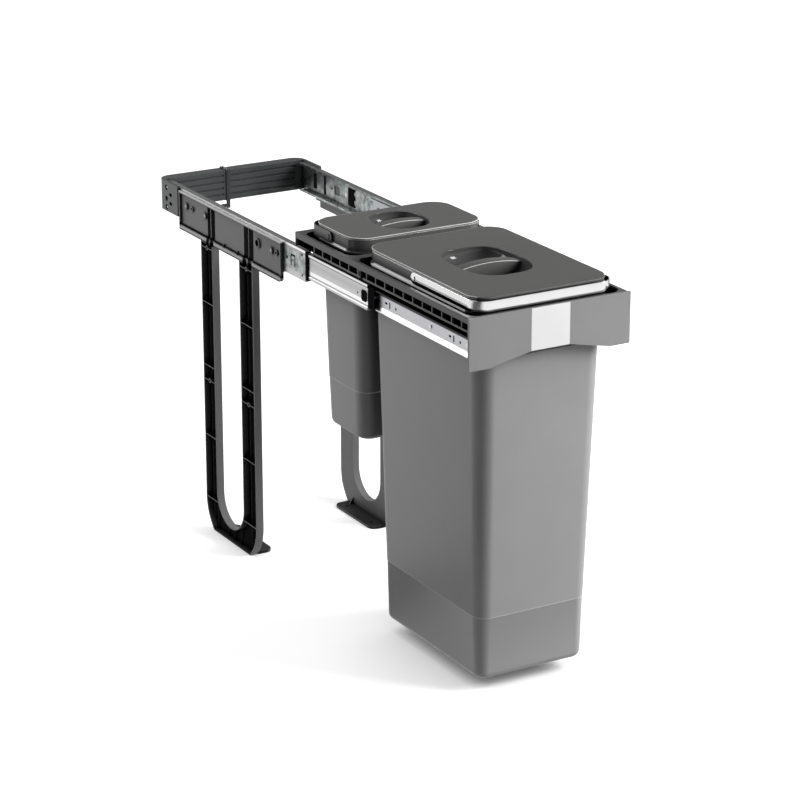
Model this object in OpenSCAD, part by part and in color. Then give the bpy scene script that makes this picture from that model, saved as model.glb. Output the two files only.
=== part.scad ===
// Pull-out waste bin frame for a 300 mm cabinet, shown fully pulled out, in millimetres.
// +Z is up, the front faces -Y and the origin is on the floor, midway along the whole assembly.

/* [Overall] */
// Width over the two side brackets
outer_w = 250.8; // [240:0.2:300]
// Length of one slide rail, which is also the pull-out travel
slide_len = 450; // [430:5:500]
// Height of the slide centre line above the floor
slide_z = 504; // [480:1:540]
// Height of the ring frame's top above the slide centre line
ring_up = 46; // [45:0.5:52]
// Thickness of the plastic panels behind the rails
panel_t = 5; // [4.5:0.1:6]

/* [Slides] */
// Height of the fixed rail
slide_h = 45.7; // [45:0.1:46.5]
// Thickness of the fixed and drawer rail sheet
sheet_t = 1.2; // [1.1:0.05:1.3]
// Diameter of the bearing balls
ball_d = 3.1; // [3.1:0.05:3.15]
// Length of the middle rail
middle_len = 395; // [380:5:400]

/* [Legs] */
// Width of the gap between the two legs of a side
leg_gap = 88; // [80:1:94]
// Depth of the legs across the cabinet
leg_d = 11.5; // [11:0.5:12]
// Thickness of the foot flange
foot_t = 4; // [3:0.5:5]

/* [Fascia] */
// Width of the fascia bar
fascia_w = 250; // [240:1:300]
// Thickness of the fascia bar
fascia_t = 4; // [3.5:0.1:5]

/* [Bins] */
// Height of the underside of the large bin above the floor
large_floor = 18.8; // [15:0.5:60]
// Height of the underside of the small bin above the floor
small_floor = 268; // [200:1:320]
// Wall thickness of the bins
bin_wall = 2; // [1.8:0.1:2.5]
// Radius of the lids' corners
lid_r = 30; // [27:0.5:32]
// Depth of the large lid's grip bowl
large_bowl = 24; // [18:1:26]
// Depth of the small lid's grip bowl
small_bowl = 20; // [15:1:22]

/* [Hidden] */

$fn = 48;
eps = 0.01;

// Named clearances
gap_slide = 0.3;
gap_run = 0.05;
gap_seat = 0.3;
gap_arm = 0.7;

// Across the width: faces of the left side, counted from the centre plane
x_out = outer_w / 2;
x_rail = x_out - panel_t;
leg_in = x_out - leg_d;

// Along the pull-out direction: 0 is the front end of the fixed rails
fascia_back = -slide_len - 0.6;
fascia_front = fascia_back - fascia_t;
rear_out = slide_len + 26;
rear_in = slide_len + 5;
clip_t = 1.5;
mid_y = (fascia_front + rear_out + clip_t) / 2;

// Slide section, as distances inboard from the rail's outer face
h_fix = slide_h / 2;
fix_w = 9.6;
h_mid = h_fix - sheet_t - ball_d - 2 * gap_run;
t_mid = 1.2;
mid_s0 = 2.6;
mid_web = 1;
mid_s1 = 11.2;
h_drw = h_mid - t_mid - ball_d - 2 * gap_run;
drw_s0 = 6.1;
drw_s1 = 12.7;
drw_w = drw_s1 - drw_s0;
ball_out = h_fix - sheet_t - gap_run - ball_d / 2;
ball_in = h_mid - t_mid - gap_run - ball_d / 2;
ball_out_s = 5;
ball_in_s = 8.2;
cage_t = 0.6;
cage_out_s = sheet_t + gap_slide;
cage_in_s = mid_s0 + 1 + mid_web + gap_slide;
x_wall = x_rail - drw_s1;

// Rest positions of the moving rails and cages, pulled right out
mid_y0 = slide_len / 2 + 4 - 8 - middle_len;
mid_y1 = mid_y0 + middle_len;
cage_o0 = -4;
cage_o1 = 170;
cage_i0 = mid_y0 - 16;
cage_i1 = -20;
ball_n = 6;

// Ring frame levels
ring_top = slide_z + ring_up;
strip_bot = ring_top - 8.8;
pocket_bot = ring_top - 17.5;
shelf_bot = ring_top - 20.5;
wall_bot = slide_z - 16;
seat_z = ring_top - 4;
x_ring = x_out - 2.8;
ring_rear = 25;

// Bins: lips, collars and lids
lip_z = seat_z + gap_seat;
collar_z = lip_z + 3.2;
collar_top = collar_z + 16.9;
lid_z = collar_top + gap_seat;
lid_top = lid_z + 3.3;
collar_in = 0.9;
lip_out = 1.3;
lid_half = x_out - 18.9;
collar_half = lid_half - collar_in;
bin_half = x_out - 26.2;
open_half = bin_half + 2.1;
recess_half = x_out - 8;
recess_r = 16;
open_r = lid_r - 10;
pin_z = collar_z + 9;
band_z0 = collar_z + 0.8;
band_z1 = collar_z + 16.8;
arm_in = lid_half + gap_arm;
pin_r = 2;

// Y limits of lids and bins: rear face then front face
big_rear = -145;
big_front = fascia_back + 9.6;
small_rear = 8;
small_front = -120;
bins_mid = (big_rear + small_front) / 2;
big_pivot = (big_front + big_rear) / 2 + 9;
small_pivot = (small_front + small_rear) / 2 + 7.5;

// Panel, legs and foot along the pull-out direction
panel_y0 = 66;
panel_y1 = slide_len - 50;
leg_mid = (panel_y0 + panel_y1) / 2 + 7.75;
leg_front = leg_mid - 85.25;
leg_rear = leg_mid + 85.25;
foot_y0 = leg_front + 22.5;
foot_y1 = leg_rear - 26;
foot_r = 65;
foot_z = 51;
u_y = (leg_front + leg_rear) / 2 + 2.25;
u_r = leg_gap / 2;
u_z = u_r + 24;
shelf_z = slide_z - h_fix;

// Everything is modelled from the front end of the fixed rails, then centred
module place() {
  translate([0, -mid_y, 0]) children();
}

// Extrudes an (x, z) outline from y = a to y = b
module along_y(a, b) {
  translate([0, b, 0]) rotate([90, 0, 0]) linear_extrude(b - a) children();
}

// Extrudes a (y, z) outline from x = a to x = b
module along_x(a, b) {
  translate([a, 0, 0]) rotate([90, 0, 90]) linear_extrude(b - a) children();
}

// Box from corner to corner
module span(a, b) {
  translate(a) cube([b[0] - a[0], b[1] - a[1], b[2] - a[2]]);
}

// Cylinder along X from x = a to x = b at (y, z)
module pin_x(a, b, y, z, r) {
  translate([a, y, z]) rotate([0, 90, 0]) cylinder(h = b - a, r = r);
}

// Cone along X from radius r1 at x = a to r2 at x = b
module cone_x(a, b, y, z, r1, r2) {
  translate([a, y, z]) rotate([0, 90, 0]) cylinder(h = b - a, r1 = r1, r2 = r2);
}

// Rounded rectangle between (x0, y0) and (x1, y1)
module round_rect(x0, y0, x1, y1, r) {
  translate([x0 + r, y0]) square([x1 - x0 - 2 * r, y1 - y0]);
  translate([x0, y0 + r]) square([x1 - x0, y1 - y0 - 2 * r]);
  for (x = [x0 + r, x1 - r]) {
    for (y = [y0 + r, y1 - r]) {
      translate([x, y]) circle(r);
    }
  }
}

// Mirrored copy for the right-hand side
module right() {
  mirror([1, 0, 0]) children();
}

// Outline of both legs, their shared bottom and the shelf, as (y, z)
module leg_outline(inset) {
  difference() {
    union() {
      translate([leg_front + inset, foot_z]) square([leg_rear - leg_front - 2 * inset, shelf_z - foot_z]);
      intersection() {
        union() {
          translate([leg_front + foot_r, foot_z]) circle(foot_r - inset);
          translate([leg_rear - foot_r, foot_z]) circle(foot_r - inset);
          translate([leg_front + foot_r, 0]) square([leg_rear - leg_front - 2 * foot_r, foot_z]);
        }
        translate([leg_front, inset]) square([leg_rear - leg_front, foot_z + foot_r]);
      }
    }
    translate([u_y, u_z]) circle(u_r + inset);
    translate([u_y - u_r - inset, u_z]) square([2 * (u_r + inset), shelf_z - 10.5 - u_z]);
    if (inset > 0) {
      translate([u_y - u_r - inset, u_z]) square([2 * (u_r + inset), shelf_z]);
    }
  }
}

// Ribs that stiffen the legs, as (y, z); bars across and thin uprights
leg_bars = [51, 154, 268, 369, 456];
boss_zs = [244.5, 456];
module leg_ribs() {
  for (z = leg_bars) {
    translate([leg_front, z - 0.6]) square([leg_rear - leg_front, 1.2]);
  }
  translate([leg_front, boss_zs[0] - 0.5]) square([leg_rear - leg_front, 1.2]);
}
module leg_uprights() {
  for (y = [leg_front + 13.5, leg_front + 28.5, leg_rear - 13.5, leg_rear - 27]) {
    translate([y - 0.6, 0]) square([1.2, shelf_z]);
  }
  for (y = [u_y - 21, u_y, u_y + 21]) {
    translate([y - 0.6, 0]) square([1.2, u_z]);
  }
}

// Plastic side bracket: panel behind the rail, two legs joined in a U, and the foot flange
panel_in = panel_t - 1.4;
panel_z0 = slide_z - 40.3;
panel_z1 = slide_z + 20;
screw_ys = [panel_y0 + 32.5, leg_rear - 12, panel_y1 - 22];
side_hole_ys = [panel_y0 + 16, panel_y1 - 42];
locating_y = leg_front - 13.5;
nose_r = 7;
module panel_outline() {
  difference() {
    translate([panel_y0, panel_z0]) square([panel_y1 - panel_y0, panel_z1 - panel_z0]);
    // rounded front bottom corner
    difference() {
      translate([panel_y0 - 1, panel_z0 - 1]) square(nose_r + 1);
      translate([panel_y0 + nose_r, panel_z0 + nose_r]) circle(nose_r);
    }
  }
}
module side_bracket() {
  difference() {
    union() {
      // panel
      along_x(-x_out, -x_rail) panel_outline();
      // shelf under the rail, with a rounded nose at its front end
      along_y(panel_y0 + 6, panel_y1 - 4) polygon([[-x_rail - eps, shelf_z - 15], [-x_rail - eps, shelf_z],
        [-x_out + 14.3, shelf_z], [-x_out + 14.3, shelf_z - 2.7], [-x_rail + 2, shelf_z - 4.5]]);
      // legs and their bottom bow
      along_x(-x_out, -leg_in) leg_outline(0);
      // foot flange
      difference() {
        linear_extrude(foot_t) round_rect(-leg_in - 8, foot_y0, -foot_in, foot_y1, 12);
        span([-x_out - 5, leg_front, -1], [-leg_in - eps - 0.5, leg_rear, foot_t + 1]);
      }
      // gusset between flange and bow
      along_y(foot_y1 - 15, foot_y1 - 13)
        polygon([[-leg_in - eps, foot_t - eps], [-leg_in + 7, foot_t - eps], [-leg_in - eps, foot_t + 11]]);
    }
    // recess in the panel with a sloped ledge at the bottom
    difference() {
      along_y(panel_y0 + 3, panel_y1 - 3) polygon([[-x_out + panel_in, panel_z1 - 3],
        [-x_out + panel_in, panel_z0 + 11.9], [-x_out, panel_z0 + 4.3], [-x_out - 1, panel_z0 + 4.3],
        [-x_out - 1, panel_z1 - 3]]);
      // bosses stand in the recess
      for (y = screw_ys) {
        pin_x(-x_out + 0.6, -x_out + 4, y, slide_z, 5.4);
      }
      for (y = side_hole_ys) {
        pin_x(-x_out + 1, -x_out + 4, y, slide_z, 4.4);
      }
      pin_x(-x_out + 1.2, -x_out + 4, locating_y, slide_z, 7.5);
      // lugs on the ledge
      for (y = [leg_mid - 34.75, leg_mid + 9.25]) {
        span([-x_out + 0.3, y - 1, panel_z0 + 4], [-x_out + 4, y + 1, panel_z0 + 12]);
      }
    }
    // channels in the legs, between the ribs
    difference() {
      along_x(-x_out - 1, -x_out + 9) difference() {
        leg_outline(2);
        leg_ribs();
      }
      along_x(-x_out + 6, -x_out + 10) leg_uprights();
      // keep the panel's foot rim above the channels
      span([-x_out - 2, panel_y0, panel_z0 - 1], [-x_out + 10, panel_y1, panel_z1 + 5]);
      // screw bosses on the cross ribs
      for (y = [leg_front + 20.5, leg_rear - 20]) {
        for (z = boss_zs) {
          pin_x(-x_out - 2, -x_out + 10, y, z, 3.6);
        }
      }
    }
    // channels that carry on upward through the panel
    for (ends = [[leg_front + 2, leg_front + 16.5], [leg_front + 18, leg_front + 32.5],
                 [leg_rear - 43, leg_rear - 30], [leg_rear - 28, leg_rear - 18]]) {
      span([-x_out - 1, ends[0], panel_z0 - 2], [-x_out + 4, ends[1], panel_z1 - 3]);
    }
    // bores in the cross rib bosses
    for (y = [leg_front + 20.5, leg_rear - 20]) {
      for (z = boss_zs) {
        pin_x(-x_out - 1, -x_out + 7, y, z, 2);
      }
    }
    // screw holes: rail screws, side fixing holes and the locating hole
    for (y = screw_ys) {
      pin_x(-x_out - 1, -x_rail + 1, y, slide_z, 1.55);
    }
    for (y = side_hole_ys) {
      pin_x(-x_out - 1, -x_rail + 1, y, slide_z, 2.25);
    }
    pin_x(-x_out - 1, -x_rail + 1, locating_y, slide_z, 5.2);
    // holes in the foot flange
    for (y = foot_holes) {
      translate([-foot_hole_x, y, -1]) cylinder(h = foot_t + 2, r = 2.25);
    }
  }
}
foot_in = x_out - 39.4;
foot_hole_x = x_out - 26.4;
foot_holes = [foot_y0 + 22, foot_y1 - 20];

// Outline of a C channel that opens inboard, as (s, z)
module channel(s0, s1, h, web, flange, lip_t, lip_h) {
  difference() {
    translate([s0, -h]) square([s1 - s0, 2 * h]);
    translate([s0 + web, -h + flange]) square([s1 - s0 - web - lip_t, 2 * (h - flange)]);
    translate([s1 - lip_t - eps, -h + lip_h]) square([lip_t + 1, 2 * (h - lip_h)]);
  }
}

// Screw hole with a countersink that opens inboard, and its screw
module sunk_hole(y, z) {
  pin_x(-x_rail - 1, -x_rail + 2, y, z, 1.6);
  cone_x(-x_rail + 0.1, -x_rail + sheet_t + 0.1, y, z, 1.9, 3.3);
}
module sunk_screw(y, z, from) {
  pin_x(-x_rail - from, -x_rail + 0.3, y, z, 1.5);
  cone_x(-x_rail + 0.2, -x_rail + sheet_t, y, z, 1.85, 3.15);
}

arm_screw_y = slide_len - 7.6;
arm_screw_zs = [slide_z - 16, slide_z + 15];
module fixed_rail() {
  difference() {
    translate([-x_rail, 0, slide_z]) along_y(0, slide_len)
      channel(0, fix_w, h_fix, sheet_t, sheet_t, sheet_t, 3.55);
    for (y = screw_ys) {
      sunk_hole(y, slide_z);
    }
    for (y = side_hole_ys) {
      pin_x(-x_rail - 1, -x_rail + 2, y, slide_z, 2.25);
    }
    for (z = arm_screw_zs) {
      sunk_hole(arm_screw_y, z);
    }
    // lanced tab window and round hole near the front end, and the long window
    span([-x_rail - 1, 30, slide_z - 9], [-x_rail + 2, 44, slide_z + 9]);
    pin_x(-x_rail - 1, -x_rail + 2, 55, slide_z + 1, 2.6);
    for (z = [-15, 15]) {
      span([-x_rail - 1, 7, slide_z + z - 2], [-x_rail + 2, 11, slide_z + z + 2]);
    }
    span([-x_rail - 1, panel_y1 - 67, slide_z - 7], [-x_rail + 2, panel_y1 - 50, slide_z + 7]);
  }
  // the tab bent out of the window, with a small hole
  difference() {
    span([-x_rail, 33, slide_z - 9 - eps], [-x_rail + 0.9, 41, slide_z + 6]);
    pin_x(-x_rail - 1, -x_rail + 2, 37, slide_z, 2);
  }
}

// Half of the rear bracket: hollow cross member and the arm that takes the rail's rear end
rb_bot = slide_z - 22.6;
rb_top = slide_z + 24.8;
rb_join = -14;
rb_arm = slide_len - 46;
groove_h = 3;
groove_d = 1.6;
module rear_bracket(x_end, screw_x) {
  difference() {
    union() {
      difference() {
        linear_extrude_at(rb_bot, rb_top) rear_outline(x_end);
        // hollow between front and back skins, open at the inner end
        span([-x_out + 22, rear_in + 3, rb_bot + 3], [x_end + 1, rear_out - 3, rb_top - 3]);
        // long shallow grooves in the front face
        for (z = [rb_bot + 8, rb_bot + 18, rb_bot + 28, rb_bot + 38]) {
          span([-x_rail + 14, rear_in - 1, z], [x_end - 6, rear_in + groove_d, z + groove_h]);
        }
      }
      // stiffening ribs inside
      for (x = [-90, -60, -34]) {
        span([x - 1, rear_in + 2, rb_bot + 1], [x + 1, rear_out - 2, rb_top - 1]);
      }
    }
    // hole for the clamp screw
    translate([screw_x, rear_in + 7, rb_top - 4]) cylinder(h = 5, r = 1.55);
    // holes at the outer end of the arm
    for (z = arm_screw_zs) {
      pin_x(-x_out - 1, -x_rail + 1, arm_screw_y, z, 1.55);
      pin_x(-x_out - 1, -x_out + 2.5, arm_screw_y, z, 4.4);
    }
    pin_x(-x_out - 1, -x_out + 2.5, arm_screw_y, slide_z - 2.6, 4.4);
    for (z = [slide_z + 6, slide_z - 8]) {
      for (y = [rb_arm + 22, rb_arm + 27]) {
        pin_x(-x_out - 1, -x_rail + 1, y, z, 2.6);
      }
      span([-x_out - 1, rb_arm + 22, z - 2.6], [-x_rail + 1, rb_arm + 27, z + 2.6]);
    }
  }
}
module linear_extrude_at(z0, z1) {
  translate([0, 0, z0]) linear_extrude(z1 - z0) children();
}
// L outline of one half, as (x, y), with a rounded outer corner
rb_corner = 20;
module rear_outline(x_end) {
  translate([-x_out, rb_arm]) square([panel_t, rear_out - rb_corner - rb_arm]);
  translate([-x_out + rb_corner, rear_in]) square([x_end + x_out - rb_corner, rear_out - rear_in]);
  translate([-x_out, rear_in]) square([rb_corner, 1]);
  intersection() {
    translate([-x_out + rb_corner, rear_out - rb_corner]) circle(rb_corner);
    translate([-x_out, rear_in]) square([rb_corner + eps, rear_out - rear_in]);
  }
}

module rear_half(side) {
  rear_bracket(side * rb_join - 0.1, side * clip_x);
}

// Clip over the joint of the two halves, with its foot
clip_x0 = rb_join - 2.5;
clip_x1 = rb_join + 3.5;
clip_x = (clip_x0 + clip_x1) / 2;
module width_clip() {
  difference() {
    union() {
      span([clip_x0, rear_in - clip_t, rb_bot - 13], [clip_x1, rear_in, rb_top + clip_t]);
      span([clip_x0, rear_in - clip_t, rb_top], [clip_x1, rear_out + clip_t, rb_top + clip_t]);
      span([clip_x0, rear_out, rb_bot - clip_t], [clip_x1, rear_out + clip_t, rb_top + clip_t]);
      span([clip_x0, rear_in - clip_t, rb_bot - clip_t], [clip_x1, rear_out + clip_t, rb_bot]);
      span([clip_x0 - 8, rear_in - clip_t, rb_bot - 11], [clip_x1, rear_in + 1, rb_bot - 6]);
    }
    translate([clip_x, rear_in + 7, rb_top - 1]) cylinder(h = 5, r = 1.55);
  }
}
module width_clamp_screw() {
  translate([clip_x, rear_in + 7, rb_top - 8]) cylinder(h = 9.5 + eps, r = 1.5);
  difference() {
    translate([clip_x, rear_in + 7, rb_top + clip_t]) cylinder(h = 1.9, r = 2.9);
    translate([clip_x - 0.4, rear_in + 5, rb_top + 2.8]) cube([0.8, 4, 2]);
    translate([clip_x - 2, rear_in + 6.6, rb_top + 2.8]) cube([4, 0.8, 2]);
  }
}

module bracket_screw_set() {
  for (y = screw_ys) {
    sunk_screw(y, slide_z, panel_t - 0.8);
  }
  for (z = arm_screw_zs) {
    sunk_screw(arm_screw_y, z, 4);
  }
}

// Plastic piece that stops the outer cage, with a scalloped edge
stop_y = cage_o1 + slide_len / 4 + 1.5;
module cage_stop() {
  difference() {
    span([-x_rail + sheet_t, stop_y, slide_z - 14], [-x_rail + sheet_t + 1, stop_y + 21, slide_z + 14]);
    for (z = [-7, 7]) {
      pin_x(-x_rail, -x_rail + 4, stop_y, slide_z + z, 4);
    }
  }
}

// Buffer pad near the rear end of the fixed rail
module rear_stop() {
  x = -x_rail + sheet_t;
  span([x, slide_len - 41, slide_z - 12], [x + 1.1, slide_len - 33, slide_z + 12]);
  span([x, slide_len - 71, slide_z - 15], [x + 0.9, slide_len - 67, slide_z + 15]);
}

// What the middle rail's outer face leaves free: a recessed web, and lips that lean back to the edges
mid_lip = 3.4;
mid_lean = 0.4;
module mid_relief() {
  z = h_mid - mid_lip;
  polygon([[mid_s0 - 1, -h_mid - eps], [mid_s0 + mid_lean, -h_mid - eps], [mid_s0, -z], [mid_s0 + 1, 1.5 - z],
    [mid_s0 + 1, z - 1.5], [mid_s0, z], [mid_s0 + mid_lean, h_mid + eps], [mid_s0 - 1, h_mid + eps]]);
}
module middle_rail() {
  difference() {
    translate([-x_rail, 0, slide_z]) along_y(mid_y0, mid_y1) difference() {
      channel(mid_s0, mid_s1, h_mid, 1 + mid_web, t_mid, 0.8, h_mid - 15);
      mid_relief();
    }
    pin_x(-x_rail, -x_rail + 6, mid_y0 + 28.2, slide_z, 1.6);
    span([-x_rail, mid_y0 + 4, slide_z - 8], [-x_rail + 6, mid_y0 + 15, slide_z + 8]);
    span([-x_rail, mid_y1 - 30, slide_z - 5], [-x_rail + 6, mid_y1 - 12, slide_z + 5]);
  }
}

// Plastic bumper snapped through the window at the front of the middle rail
module middle_bumper() {
  span([-x_rail + 2.8, mid_y0 + 4, slide_z - 8], [-x_rail + 4.6, mid_y0 + 15, slide_z + 8]);
  span([-x_rail + 2.6, mid_y0 + 2.5, slide_z - 6], [-x_rail + 3.6, mid_y0 + 16.5, slide_z + 6]);
}

// Ball cage: web and two turned edges that carry the balls
module cage(s0, s1, y0, y1, zb, ys, sb) {
  difference() {
    translate([-x_rail, 0, slide_z]) along_y(y0, y1) difference() {
      translate([s0, -zb - cage_t / 2]) square([s1 - s0, 2 * zb + cage_t]);
      translate([s0 + 0.7, -zb + cage_t / 2]) square([s1 - s0, 2 * zb - cage_t]);
    }
    for (y = ys) {
      for (z = [-zb, zb]) {
        translate([-x_rail + sb, y, slide_z + z - 2]) cylinder(h = 4, r = ball_d / 2 + 0.03);
      }
    }
    // lightening slots in the web
    for (k = [0:3]) {
      translate([-x_rail + s0 - 1, y0 + 26 + k * 36, slide_z - 5]) cube([3, 20, 10]);
    }
  }
}
module balls(ys, zb, sb) {
  for (y = ys) {
    for (z = [-zb, zb]) {
      translate([-x_rail + sb, y, slide_z + z]) sphere(d = ball_d, $fn = 32);
    }
  }
}
function ball_row(y0, y1) = [for (k = [0:ball_n - 1]) y0 + (y1 - y0) * k / (ball_n - 1)];
outer_ys = ball_row(6, cage_o1 - 6);
inner_ys = ball_row(mid_y0 + 6, cage_i1 - 6);
module outer_balls() {
  balls(outer_ys, ball_out, ball_out_s);
}
module inner_balls() {
  balls(inner_ys, ball_in, ball_in_s);
}
module outer_cage() {
  cage(cage_out_s, ball_out_s + 2.4, cage_o0, cage_o1, ball_out, outer_ys, ball_out_s);
}
module inner_cage() {
  cage(cage_in_s, ball_in_s + 1.7, cage_i0, cage_i1, ball_in, inner_ys, ball_in_s);
}

drw_screws = [-40, 272 - slide_len, 120 - slide_len, 25 - slide_len];
drw_marks = [238.4 - slide_len, 70.1 - slide_len];
module drawer_rail() {
  difference() {
    translate([-x_rail, 0, slide_z]) along_y(-slide_len, 0) difference() {
      translate([drw_s0, -h_drw]) square([drw_w, 2 * h_drw]);
      translate([drw_s0 - 1, -h_drw + sheet_t]) square([drw_w + 1 - sheet_t, 2 * (h_drw - sheet_t)]);
    }
    for (y = drw_screws) {
      pin_x(-x_wall - 3, -x_wall + 1, y, slide_z, 1.6);
    }
    // groups of a lance slot, an upright slot and a round hole
    for (y = drw_marks) {
      span([-x_wall - 3, y - 3, slide_z - 1], [-x_wall + 1, y + 3, slide_z + 2]);
      span([-x_wall - 3, y - 11, slide_z - 5], [-x_wall + 1, y - 8, slide_z + 4]);
      pin_x(-x_wall - 3, -x_wall + 1, y - 26, slide_z - 1, 2);
    }
  }
}

// Pan-head screws through the drawer rail into the ring frame's wall
module rail_screw_set() {
  for (y = drw_screws) {
    pin_x(-x_wall - sheet_t, -x_wall + 2.2, y, slide_z, 1.5);
    pin_x(-x_wall - sheet_t - 1.4, -x_wall - sheet_t, y, slide_z, 2.8);
  }
}

rib_pitch = 25;
rib_front = -30;
rib_t = 2.2;
rib_n = floor((rib_front - fascia_back - 6) / rib_pitch);
hook_y = rib_front - 7 - 5 * rib_pitch;
ring_wall_t = 2.5;
ring_x1 = x_wall - ring_wall_t;
module ring_frame() {
  difference() {
    union() {
      // outer strip and deck
      span([-x_ring, fascia_back, strip_bot], [x_ring, ring_rear, ring_top]);
      // side walls that take the drawer rails, and the front wall
      span([-x_wall, fascia_back, wall_bot], [x_wall, 0, strip_bot + 1]);
      span([-x_wall, -1, shelf_bot], [x_wall, ring_rear - 1, strip_bot + 1]);
      // shelf, roof and ribs of the pocket row
      span([-x_ring, fascia_back, shelf_bot], [x_ring, rib_front, pocket_bot]);
      for (k = [0:rib_n]) {
        span([-x_ring, rib_front - rib_t - k * rib_pitch, shelf_bot],
          [x_ring, rib_front - k * rib_pitch, strip_bot + 1]);
      }
      // set-back shelf behind the pocket row, and the rib that closes its rear end
      span([-x_ring + 4.6, rib_front - eps, shelf_bot], [x_ring - 4.6, ring_rear - 1, pocket_bot]);
      span([-x_ring, ring_rear - rib_t, shelf_bot], [x_ring, ring_rear, strip_bot + 1]);
    }
    // space inside the side walls, front to back, with a cross web between the bins
    difference() {
      span([-ring_x1, fascia_back + 2.5, wall_bot - 1], [ring_x1, 1, seat_z - 3]);
      span([-ring_x1 - 1, bins_mid - 1.5, slide_z + 6], [ring_x1 + 1, bins_mid + 1.5, seat_z]);
    }
    // open between the side walls at the rear end
    span([-ring_x1, 1 - eps, shelf_bot - 1], [ring_x1, ring_rear + 1, strip_bot]);
    // recesses for the lips of the bins
    linear_extrude_at(seat_z, ring_top + 1)
      round_rect(-recess_half, big_front - 6, recess_half, big_rear + 5.5, recess_r);
    linear_extrude_at(seat_z, ring_top + 1)
      round_rect(-recess_half, small_front - 5.5, recess_half, small_rear + 4, recess_r);
    // through openings for the bins
    linear_extrude_at(wall_bot, ring_top)
      round_rect(-open_half, big_front - 0.4, open_half, big_rear - 0.1, open_r);
    linear_extrude_at(wall_bot, ring_top)
      round_rect(-open_half, small_front - 1.4, open_half, small_rear - 2.6, open_r);
    // hollow under the deck at the rear end and the sides
    span([-x_ring + 2.5, -27, strip_bot - 1], [-ring_x1 - 3.5, ring_rear - 2.5, seat_z - 3]);
    span([ring_x1 + 3.5, -27, strip_bot - 1], [x_ring - 2.5, ring_rear - 2.5, seat_z - 3]);
    // gap in the shelf beside the bars between the bins
    for (x = [-x_ring, x_ring]) {
      span([x - 6, hook_y - 9, shelf_bot - 1], [x + 6, hook_y, pocket_bot + 1]);
    }
    // pilot holes for the rail screws and the fascia screws
    for (y = drw_screws) {
      pin_x(-x_wall - 1, x_wall + 1, y, slide_z, 1.55);
    }
    for (x = fascia_xs) {
      translate([x, fascia_back - 1, slide_z]) rotate([-90, 0, 0]) cylinder(h = 5, r = 1.55);
    }
  }
  // small hook beside the gap
  for (x = [-x_ring + 1, x_ring - 1]) {
    difference() {
      span([x - 1, hook_y - 2, shelf_bot], [x + 1, hook_y + 3.5, strip_bot]);
      span([x - 2, hook_y - 0.8, shelf_bot + 1.2], [x + 2, hook_y + 2.3, strip_bot - 2]);
    }
  }
}

fascia_xs = [12.7 - x_wall, -60, 60, x_wall - 12.7];
plate_w = 60;
plate_h = 58;
fascia_h = 71.3;
fascia_end = 31;
plate_z0 = ring_top - plate_h;
fascia_z0 = ring_top - fascia_h;
module fascia() {
  difference() {
    along_y(fascia_front, fascia_back) polygon([[-fascia_w / 2, ring_top], [-fascia_w / 2, fascia_z0],
      [-fascia_w / 2 + fascia_end, fascia_z0], [-plate_w / 2, plate_z0], [plate_w / 2, plate_z0],
      [fascia_w / 2 - fascia_end, fascia_z0], [fascia_w / 2, fascia_z0], [fascia_w / 2, ring_top]]);
    span([-plate_w / 2, fascia_front - 1, plate_z0 - 1], [plate_w / 2, fascia_front + 1.2, ring_top + 1]);
    for (x = fascia_xs) {
      translate([x, fascia_front + 2, slide_z]) rotate([-90, 0, 0]) cylinder(h = fascia_t, r = 1.55);
    }
  }
}
module fascia_plate() {
  span([-plate_w / 2 + 0.1, fascia_front + 0.1, plate_z0 + 0.1],
    [plate_w / 2 - 0.1, fascia_front + 1.2, ring_top]);
}
// Screws driven from inside the ring frame's front wall into the fascia
module fascia_screws() {
  for (x = fascia_xs) {
    translate([x, fascia_back - 1.8, slide_z]) rotate([-90, 0, 0]) cylinder(h = 4.3, r = 1.5);
    translate([x, fascia_back + 2.5, slide_z]) rotate([-90, 0, 0]) cylinder(h = 1.4, r = 2.8);
  }
}

// Tapered body between two rounded sections: [half width, front, rear, radius, z]
module taper(a, b) {
  hull() {
    linear_extrude_at(a[4], a[4] + eps) round_rect(-a[0], a[1], a[0], a[2], a[3], $fn = 40);
    linear_extrude_at(b[4] - eps, b[4]) round_rect(-b[0], b[1], b[0], b[2], b[3], $fn = 40);
  }
}
function inset(a, t, z) = [a[0] - t, a[1] + t, a[2] - t, a[3] - t, z];

// Outline t in from the outside of the collar
module collar_outline(front, rear, t) {
  in = collar_in + t;
  round_rect(-lid_half + in, front + in, lid_half - in, rear - in, lid_r - in);
}

// Bin: edge round at the bottom, lower body, stepped upper body, lip and collar
edge_r = 11;
module bin(base, foot, step, lip, front, rear) {
  bottom = base[4];
  difference() {
    union() {
      taper(inset(base, edge_r, bottom), inset(base, edge_r * 0.29, bottom + edge_r * 0.29));
      taper(inset(base, edge_r * 0.29, bottom + edge_r * 0.29), inset(base, 0, bottom + edge_r));
      taper(inset(base, 0, bottom + edge_r), foot);
      taper(step, lip);
      linear_extrude_at(lip_z, collar_z)
        round_rect(-lid_half - lip_out, front - lip_out, lid_half + lip_out, rear + lip_out, lid_r + lip_out);
      linear_extrude_at(collar_z - eps, collar_top) collar_outline(front, rear, 0);
    }
    taper(inset(base, bin_wall + 6, bottom + 2.5), inset(base, bin_wall, bottom + edge_r));
    taper(inset(base, bin_wall, bottom + edge_r - eps), inset(lip, bin_wall, collar_z + eps));
    linear_extrude_at(collar_z, collar_top + 1) collar_outline(front, rear, bin_wall);
  }
}
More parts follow.
